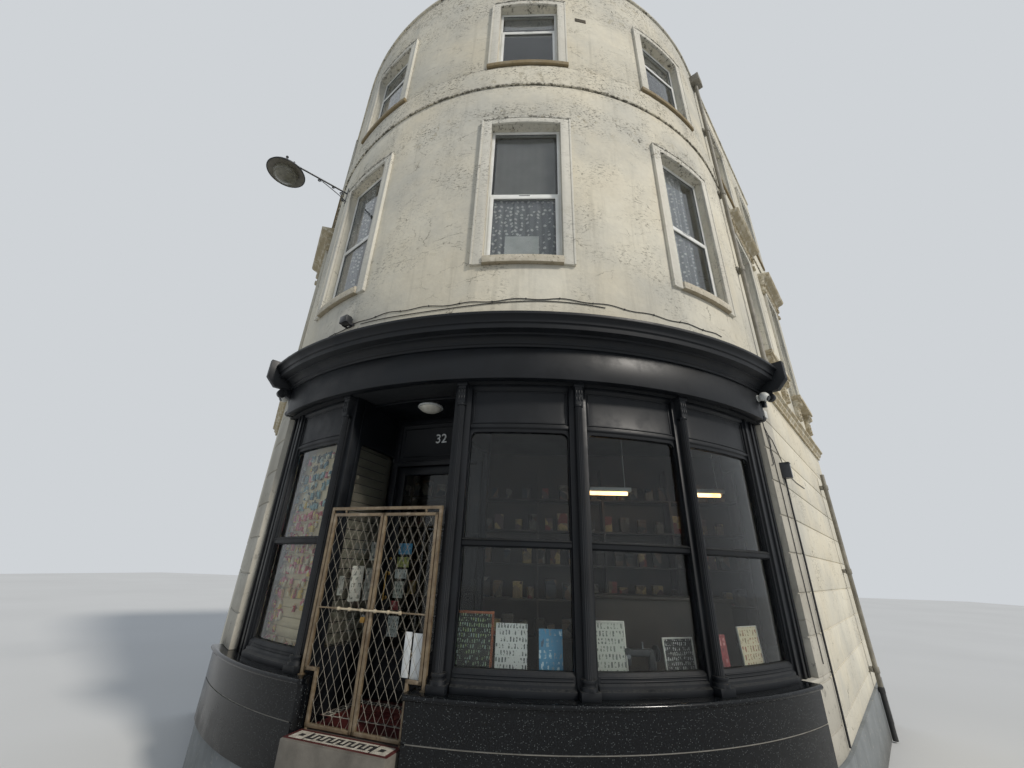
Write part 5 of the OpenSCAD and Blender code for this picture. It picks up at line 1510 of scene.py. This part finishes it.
class CORNERSHOP_OT_gate(bpy.types.Operator):
    """Dress the security gate: its posts, leaves, diamond mesh, lock bar and pivots"""
    bl_idname = "cornershop.gate"
    bl_label = "Dress Gate"

    def execute(self, context):
        settings = context.scene.corner_shop
        dressed("gate_frame", "gate_bronze", 0.0015)
        for side, node, body in ((-1, "gate_leaf_left", "gate_left"), (1, "gate_leaf_right", "gate_right")):
            self.leaf(side, node, body, settings)
        place = ENTRANCE @ shift(0, -GATE_V, 0)
        bm = bmesh.new()
        block(bm, place, (0.385, 0.018, 1.47), (0.452, 0.024, 1.8), 0.002)
        block(bm, place, (0.47, 0.018, 1.46), (0.575, 0.024, 1.795), 0.002)
        finish(bm, "gate_sheets", "enamel", body="gate_right")
        bm = bmesh.new()
        hung = place @ shift(-0.035, -0.045, GATE_LOCK_Z - 0.05)
        block(bm, hung, (-0.022, -0.009, -0.045), (0.022, 0.009, 0.0), 0.004, 3)
        finish(bm, "padlock", "brass", body="gate_left")
        loop = [hung @ Vector((0.014 * math.cos(t), 0, 0.018 * math.sin(t) - 0.002)) for t in
                (math.pi * i / 12 for i in range(13))]
        rods("padlock_shackle", [loop], 0.003, "steel", 8, body="gate_left")
        return {"FINISHED"}

    def outline(self, inset):
        """The stepped outline of a leaf, in from its edge."""
        middle, low, high = GATE_MIDDLE + inset, GATE_LOW_X - inset, GATE_HIGH_X - inset
        foot, step, top = GATE_LO + inset, GATE_STEP_Z + inset, GATE_HI - inset
        return [(middle, foot), (low, foot), (low, step), (high, step), (high, top), (middle, top)]

    def wire_paths(self, place, side):
        """The wires of one leaf: two slopes, one before the other, each cut off at the frame."""
        shape = self.outline(GATE_BAR / 2)
        edges = list(zip(shape, shape[1:] + shape[:1]))
        slope = math.atan2(DIAMOND[1], DIAMOND[0])
        paths = []
        for i in range(-12, 20):
            for turn, y in ((slope, -0.0022), (math.pi - slope, 0.0022)):
                ox, oz = i * DIAMOND[0], GATE_LO
                dx, dz = math.cos(turn), math.sin(turn)
                hits = []
                for (ax, az), (bx, bz) in edges:
                    ex, ez = bx - ax, bz - az
                    across = dx * ez - dz * ex
                    if abs(across) > 1e-9:
                        t = ((ax - ox) * ez - (az - oz) * ex) / across
                        k = ((ax - ox) * dz - (az - oz) * dx) / across
                        if 0 <= k < 1:
                            hits.append(t)
                hits.sort()
                for first, second in zip(hits[::2], hits[1::2]):
                    if second - first < 0.02:
                        continue
                    count = max(2, round((second - first) / (0.5 * math.hypot(*DIAMOND))))
                    path = []
                    for step in range(count + 1):
                        t = first + (second - first) * step / count
                        path.append(place @ Vector((side * (ox + dx * t), y, oz + dz * t)))
                    paths.append(path)
        return paths

    def leaf(self, side, node, body, settings):
        """One leaf: its bars, wires, lock bar and pivots."""
        place = ENTRANCE @ shift(0, -GATE_V, 0)
        half = GATE_BAR / 2
        bars = ((GATE_MIDDLE, GATE_LOW_X, GATE_LO, GATE_LO + GATE_BAR),
                (GATE_MIDDLE, GATE_MIDDLE + GATE_BAR, GATE_LO, GATE_HI),
                (GATE_MIDDLE, GATE_HIGH_X, GATE_HI - GATE_BAR, GATE_HI),
                (GATE_LOW_X - GATE_BAR, GATE_LOW_X, GATE_LO, GATE_STEP_Z + GATE_BAR),
                (GATE_LOW_X - GATE_BAR, GATE_HIGH_X, GATE_STEP_Z, GATE_STEP_Z + GATE_BAR),
                (GATE_HIGH_X - GATE_BAR, GATE_HIGH_X, GATE_STEP_Z, GATE_HI))
        bm = bmesh.new()
        for x1, x2, z1, z2 in bars:
            low, high = sorted((side * x1, side * x2))
            block(bm, place, (low, -half, z1), (high, half, z2), 0.002)
        low, high = sorted((side * 0.03, side * (GATE_HIGH_X - GATE_BAR + 0.002)))
        block(bm, place, (low, -half, GATE_LOCK_Z - 0.006), (high, -0.004, GATE_LOCK_Z + 0.006), 0.001, 1)
        pivot = place @ shift(side * GATE_PIVOT, 0, 0)
        lathe(bm, pivot @ shift(0, 0, GATE_HI - 0.002),
              [(TIP, 0), (0.007, 0), (0.007, 0.03), (TIP, 0.032)], 24)
        disc(bm, pivot, 0.009, FLOOR_Z + 0.002, FLOOR_Z + 0.022, 24)
        finish(bm, node + "_frame", "gate_bronze", (node,), body)
        rods(node + "_mesh", self.wire_paths(place, side), settings.wire, "wire", 8, body=body,
             slot="gate_bronze")
        bm = bmesh.new()
        bar = place @ shift(0, -half - 0.012, GATE_LOCK_Z) @ Matrix.Rotation(side * math.pi / 2, 4, "Y")
        profile = [(TIP, GATE_MIDDLE), (0.009, GATE_MIDDLE)]
        for x in (0.06, 0.2, 0.32):
            profile += [(0.009, x), (0.013, x), (0.016, x + 0.003), (0.016, x + 0.019), (0.013, x + 0.022),
                        (0.009, x + 0.022)]
        profile.append((TIP, 0.342))
        lathe(bm, bar, profile, 24)
        finish(bm, node + "_lock_bar", "lock_paint", body=body)


class CORNERSHOP_OT_fittings(bpy.types.Operator):
    """Dress the rainwater pipes, the wall lamp, the cameras, the lights and their cables"""
    bl_idname = "cornershop.fittings"
    bl_label = "Dress Fittings"

    def execute(self, context):
        dressed("rainwater_pipes", "pipe_paint", 0.004)
        foot = RIGHT_WALL @ shift(FOOT_PIPE_X, -0.09, 0.022)
        bm = bmesh.new()
        lathe(bm, foot, [(0.0345, 0), (0.0375, 0.0), (0.0375, 0.62), (0.046, 0.63), (0.046, 0.7),
                         (0.0345, 0.71)], 32)
        finish(bm, "pipe_foot_sleeve", "pipe_black")
        self.wall_lamp()
        self.cameras()
        self.boxes()
        self.cables()
        return {"FINISHED"}

    def wall_lamp(self):
        """A dished lamp with a glass bowl, on a bar with a curved brace and scrolls, off a wall plate."""
        place = at(-46.5)
        top = 8.61
        bm = bmesh.new()
        block(bm, place, (-0.03, -0.014, 8.37), (0.03, ON_WALL, 8.73), 0.004)
        hub = place @ shift(0, -LAMP_OUT, 8.17)
        lathe(bm, hub, [(TIP, 0.455), (0.028, 0.45), (0.032, 0.42), (0.032, 0.345), (0.07, 0.33),
                        (0.078, 0.3), (0.118, 0.28), (0.148, 0.255), (0.23, 0.225), (0.288, 0.2),
                        (0.299, 0.18), (0.299, 0.17), (0.285, 0.17), (0.222, 0.208), (0.14, 0.228),
                        (TIP, 0.23)], 48)
        finish(bm, "wall_lamp_shade", "lamp_metal", ("wall_lamp",))
        bm = bmesh.new()
        turns = [math.radians(a) for a in range(-12, 90, 8)]
        bowl = [(0.19 * math.cos(t), 0.17 - 0.155 * math.sin(t)) for t in turns]
        lathe(bm, hub, [(TIP, 0.2)] + bowl + [(TIP, 0.014)], 48)
        for z, wide in ((0.08, 0.176), (0.125, 0.19)):
            lathe(bm, hub, [(wide - 0.02, z), (wide, z + 0.003), (wide, z + 0.008),
                            (wide - 0.02, z + 0.012)], 48)
        finish(bm, "wall_lamp_bowl", "lamp_glass")
        bm = bmesh.new()
        lathe(bm, hub, [(0.195, 0.176), (0.28, 0.168), (0.283, 0.172), (0.2, 0.19)], 48)
        finish(bm, "wall_lamp_reflector", "lamp_inside")
        arm = [place @ Vector((0, -y, top)) for y in (0.004, 0.35, 0.7, LAMP_OUT)]
        rods("wall_lamp_arm", [arm], 0.015, "lamp_metal", 12, slot="lamp_metal")
        curls = [[place @ Vector((0, -y, 8.42 + (top - 8.45) * (y / 0.45) ** 0.8))
                  for y in (0.008, 0.08, 0.16, 0.26, 0.36, 0.45)]]
        for y, z, size, spin in ((-0.5, top - 0.045, 0.03, 1), (-0.06, 8.42, 0.035, -1),
                                 (-0.1, 8.54, 0.04, 1), (-0.26, 8.575, 0.022, 1)):
            curls.append(spiral(place, (0, y, z), size, 3.2, 24, 6, spin))
        rods("wall_lamp_scrolls", curls, 0.007, "lamp_metal", 8, slot="lamp_metal")
        bm = bmesh.new()
        for y in (-LAMP_OUT + 0.06, -LAMP_OUT - 0.06):
            block(bm, place, (-0.012, y - 0.012, top), (0.012, y + 0.012, top + 0.06), 0.006, 3)
        lathe(bm, place @ shift(0, -LAMP_OUT - 0.06, top + 0.055),
              [(TIP, 0), (0.018, 0.006), (0.024, 0.022), (0.016, 0.04), (TIP, 0.046)], 20)
        finish(bm, "wall_lamp_finials", "lamp_metal")

    def camera_body(self, white, black, place, bracket):
        """A round camera: a ball with a black eye, and its foot."""
        bmesh.ops.create_icosphere(white, subdivisions=4, radius=0.062, matrix=place)
        look = place @ Matrix.Rotation(math.radians(122), 4, "X")
        lathe(black, look, [(TIP, 0.03), (0.034, 0.03), (0.034, 0.057), (0.028, 0.0635), (TIP, 0.0635)], 32)
        foot = place @ Matrix.Rotation(-math.pi / 2, 4, "X")
        lathe(white, foot, [(TIP, 0.03), (0.022, 0.03), (0.024, bracket - 0.014), (0.042, bracket - 0.012),
                            (0.044, bracket - 0.001), (TIP, bracket - 0.001)], 32)

    def cameras(self):
        """The two round cameras, each with a small box under it."""
        white, black = bmesh.new(), bmesh.new()
        right = at(42.3, RADIUS + 0.1) @ shift(0, -0.075, SOFFIT_Z + 0.27)
        self.camera_body(white, black, right, 0.075)
        block(black, right, (-0.026, -0.006, -0.135), (0.026, 0.042, -0.05), 0.006, 3)
        left = at(-46) @ shift(0, -0.11, SOFFIT_Z + 0.33)
        self.camera_body(white, black, left, 0.11)
        block(white, left, (-0.014, 0.02, -0.01), (0.014, 0.108, 0.07), 0.006, 3)
        junction = at(45.8)
        block(white, junction, (-0.045, -0.07, SOFFIT_Z + 0.09), (0.045, ON_WALL, SOFFIT_Z + 0.19), 0.008, 3)
        lathe(white, junction @ shift(0, -0.069, SOFFIT_Z + 0.14) @ TO_STREET,
              [(TIP, 0), (0.03, 0), (0.03, 0.003), (TIP, 0.004)], 32)
        finish(white, "white_fittings", "fitting_plastic", ("security_fittings",))
        finish(black, "camera_eyes", "lens")

    def boxes(self):
        """The black lamp box on the right pier, the black floodlight and joint box over the cornice."""
        bm = bmesh.new()
        pier = at(51.1)
        shape = [(-0.058, ON_WALL), (0.058, ON_WALL), (0.058, -0.05), (0.03, -0.108), (-0.03, -0.108),
                 (-0.058, -0.05)]
        skin(bm, [[pier @ Vector((x, y, z)) for x, y in shape] for z in (3.502, 3.698)])
        block(bm, pier, (-0.058, -0.112, 3.69), (0.058, ON_WALL, 3.7), 0.003)
        flood = at(-28.5)
        block(bm, flood, (-0.07, -0.138, 5.15), (0.07, -0.055, 5.255), 0.008, 3)
        block(bm, flood, (-0.05, -0.06, 5.165), (0.05, -0.03, 5.24), 0.005)
        for x in (-0.068, 0.06):
            block(bm, flood, (x, -0.09, 5.14), (x + 0.008, ON_WALL, 5.165), 0.002)
        block(bm, flood, (-0.035, -0.012, 5.142), (0.035, ON_WALL, 5.2), 0.003)
        joint_box = at(-36)
        block(bm, joint_box, (-0.03, -0.03, 5.06), (0.03, ON_WALL, 5.11), 0.006, 3)
        finish(bm, "black_boxes", "black_plastic")
        bm = bmesh.new()
        block(bm, flood, (-0.06, -0.1395, 5.16), (0.06, -0.136, 5.245), 0.001)
        block(bm, pier, (-0.028, -0.1095, 3.52), (0.028, -0.106, 3.68), 0.001)
        finish(bm, "lamp_fronts", "lens")
        bm = bmesh.new()
        for i in range(7):
            x = -0.052 + i * 0.0165
            block(bm, flood, (x, -0.056, 5.158), (x + 0.005, -0.026, 5.248), 0.001, 1)
        finish(bm, "floodlight_fins", "black_plastic")

    def cables(self):
        """The cable that is clipped over the cornice and the ones that run down the right pier."""
        level = 0.008
        over, second = [], []
        for i in range(101):
            degrees = -46 + 83 * i / 100
            z = 5.16 + 0.02 * math.sin(degrees * 0.21) + 0.012 * math.sin(degrees * 0.9 + 1)
            over.append(on_wall(along(degrees), level, z))
        for i in range(61):
            degrees = -26 + 40 * i / 60
            second.append(on_wall(along(degrees), level, 5.115 + 0.03 * math.sin(degrees * 0.17 + 0.5)))
        thin = [over, second]
        routes = (
            ((45.8, 4.21), (46.0, 4.1), (47.2, 4.02), (47.3, 3.86), (46.4, 3.8), (46.5, 3.62), (45.6, 3.6)),
            ((46.0, 4.1), (47.3, 3.7), (47.5, 3.3), (47.6, 2.6), (47.9, 1.9), (48.0, 1.5)),
            ((47.2, 4.02), (49.0, 3.98), (51.2, 3.85), (53.5, 3.72), (57.0, 3.62), (63.0, 3.6), (72.0, 3.62)))
        for route in routes:
            thin.append([on_wall(along(d), level, z) for d, z in route])
        down = ((51.1, 3.51), (51.15, 3.4), (51.0, 3.1), (51.25, 2.5), (51.1, 1.9), (51.3, 1.2), (51.2, 0.75))
        thick = [[on_wall(along(d), 0.02, z) for d, z in down]]
        rods("thin_cables", thin, 0.005, "cable", 8)
        rods("pier_conduit", thick, 0.011, "cable", 12)
        bm = bmesh.new()
        block(bm, HERE, (-0.006, -0.012, -0.009), (0.006, 0.008, 0.009), 0.002, 1)
        points = []
        for i in range(4, 100, 6):
            degrees = -46 + 83 * i / 100
            points.append((over[i], (0, 0, math.radians(degrees))))
        for d, z in ((51.1, 3.3), (51.2, 2.6), (51.15, 2.0), (51.2, 1.4)):
            points.append((on_wall(along(d), 0.014, z), (0, 0, math.radians(d))))
        repeats("cable_clips", points, bm, "cable", 0.1, 0.05, 3)


class CORNERSHOP_OT_stage(bpy.types.Operator):
    """Set up the camera, the pale floor and the studio light"""
    bl_idname = "cornershop.stage"
    bl_label = "Set Up Stage"

    def execute(self, context):
        scene = context.scene
        strength = scene.corner_shop.light
        scene.view_settings.view_transform = "Standard"
        ground = Finish("studio_floor", "#C9C9C7", 0.95, Specular_IOR_Level=0.1)
        ground.colour = "#CBCBC9"
        ground.coat("#C6C6C4", ground.spots(0.15, 0.3, 0.7, 2.0))
        mesh = bpy.data.meshes.new("studio_floor")
        size = 60
        corners = [(-size, -size, 0), (size, -size, 0), (size, size, 0), (-size, size, 0)]
        mesh.from_pydata(corners, [], [(0, 1, 2, 3)])
        mesh.materials.append(ground.done())
        floor = new_object("studio_floor", mesh)
        world = bpy.data.worlds.new("studio")
        world.use_nodes = True
        scene.world = world
        tree = world.node_tree
        tree.nodes.clear()
        path = add(tree, "ShaderNodeLightPath").outputs
        seen = path["Is Camera Ray"]
        for ray in ("Is Transmission Ray", "Is Glossy Ray"):
            seen = add(tree, "ShaderNodeMath", {"operation": "MAXIMUM", 0: seen, 1: path[ray]}).outputs[0]
        pale = add(tree, "ShaderNodeBackground", {"Color": "#CFD3D7", "Strength": 1.0})
        lit = add(tree, "ShaderNodeBackground", {"Color": "#D3DCE8", "Strength": 0.7 * strength})
        both = add(tree, "ShaderNodeMixShader", {0: seen, 1: lit.outputs[0], 2: pale.outputs[0]})
        add(tree, "ShaderNodeOutputWorld", {"Surface": both.outputs[0]})
        lamp = bpy.data.lights.new("soft_sun", "SUN")
        lamp.energy = 2.3 * strength
        lamp.angle = math.radians(7)
        lamp.color = (1.0, 0.945, 0.87)
        sun = new_object("soft_sun", lamp)
        sun.rotation_euler = Vector((-0.66, 0.55, -0.62)).to_track_quat("-Z", "Y").to_euler()
        lens = bpy.data.cameras.new("camera")
        lens.sensor_width = 36
        lens.lens = 409.373 / 1024 * 36
        camera = new_object("camera", lens)
        heading, pitch, roll = math.radians(4.33), math.radians(24.202), math.radians(1.914)
        right = Vector((math.cos(heading), math.sin(heading), 0))
        level = Vector((-math.sin(heading), math.cos(heading), 0))
        ahead = math.cos(pitch) * level + math.sin(pitch) * Vector((0, 0, 1))
        up = -math.sin(pitch) * level + math.cos(pitch) * Vector((0, 0, 1))
        across = math.cos(roll) * right + math.sin(roll) * up
        above = -math.sin(roll) * right + math.cos(roll) * up
        matrix = Matrix((across, above, -ahead)).transposed().to_4x4()
        matrix.translation = Vector((0.3357, -8.409, 2.33))
        camera.matrix_world = matrix
        scene.camera = camera
        return {"FINISHED"}


STEPS = (CORNERSHOP_OT_masonry, CORNERSHOP_OT_upper_windows, CORNERSHOP_OT_plinth, CORNERSHOP_OT_shopfront,
         CORNERSHOP_OT_entrance, CORNERSHOP_OT_gate, CORNERSHOP_OT_fittings, CORNERSHOP_OT_stage)


class CORNERSHOP_PT_panel(bpy.types.Panel):
    """Buttons for dressing the building, in the sidebar"""
    bl_label = "Corner Shop Building"
    bl_idname = "CORNERSHOP_PT_panel"
    bl_space_type = "VIEW_3D"
    bl_region_type = "UI"
    bl_category = "Corner Shop"

    def draw(self, context):
        for name in CornerShopSettings.__annotations__:
            self.layout.prop(context.scene.corner_shop, name)
        for step in STEPS:
            self.layout.operator(step.bl_idname)


CLASSES = (CornerShopSettings, *STEPS, CORNERSHOP_PT_panel)


def register():
    for item in CLASSES:
        bpy.utils.register_class(item)
    bpy.types.Scene.corner_shop = bpy.props.PointerProperty(type=CornerShopSettings)


def unregister():
    del bpy.types.Scene.corner_shop
    for item in reversed(CLASSES):
        bpy.utils.unregister_class(item)


def main():
    register()
    make_materials()
    for step in STEPS:
        group, name = step.bl_idname.split(".")
        if getattr(getattr(bpy.ops, group), name)() != {"FINISHED"}:
            raise RuntimeError(step.bl_label + " did not finish")


if __name__ == "__main__":
    main()
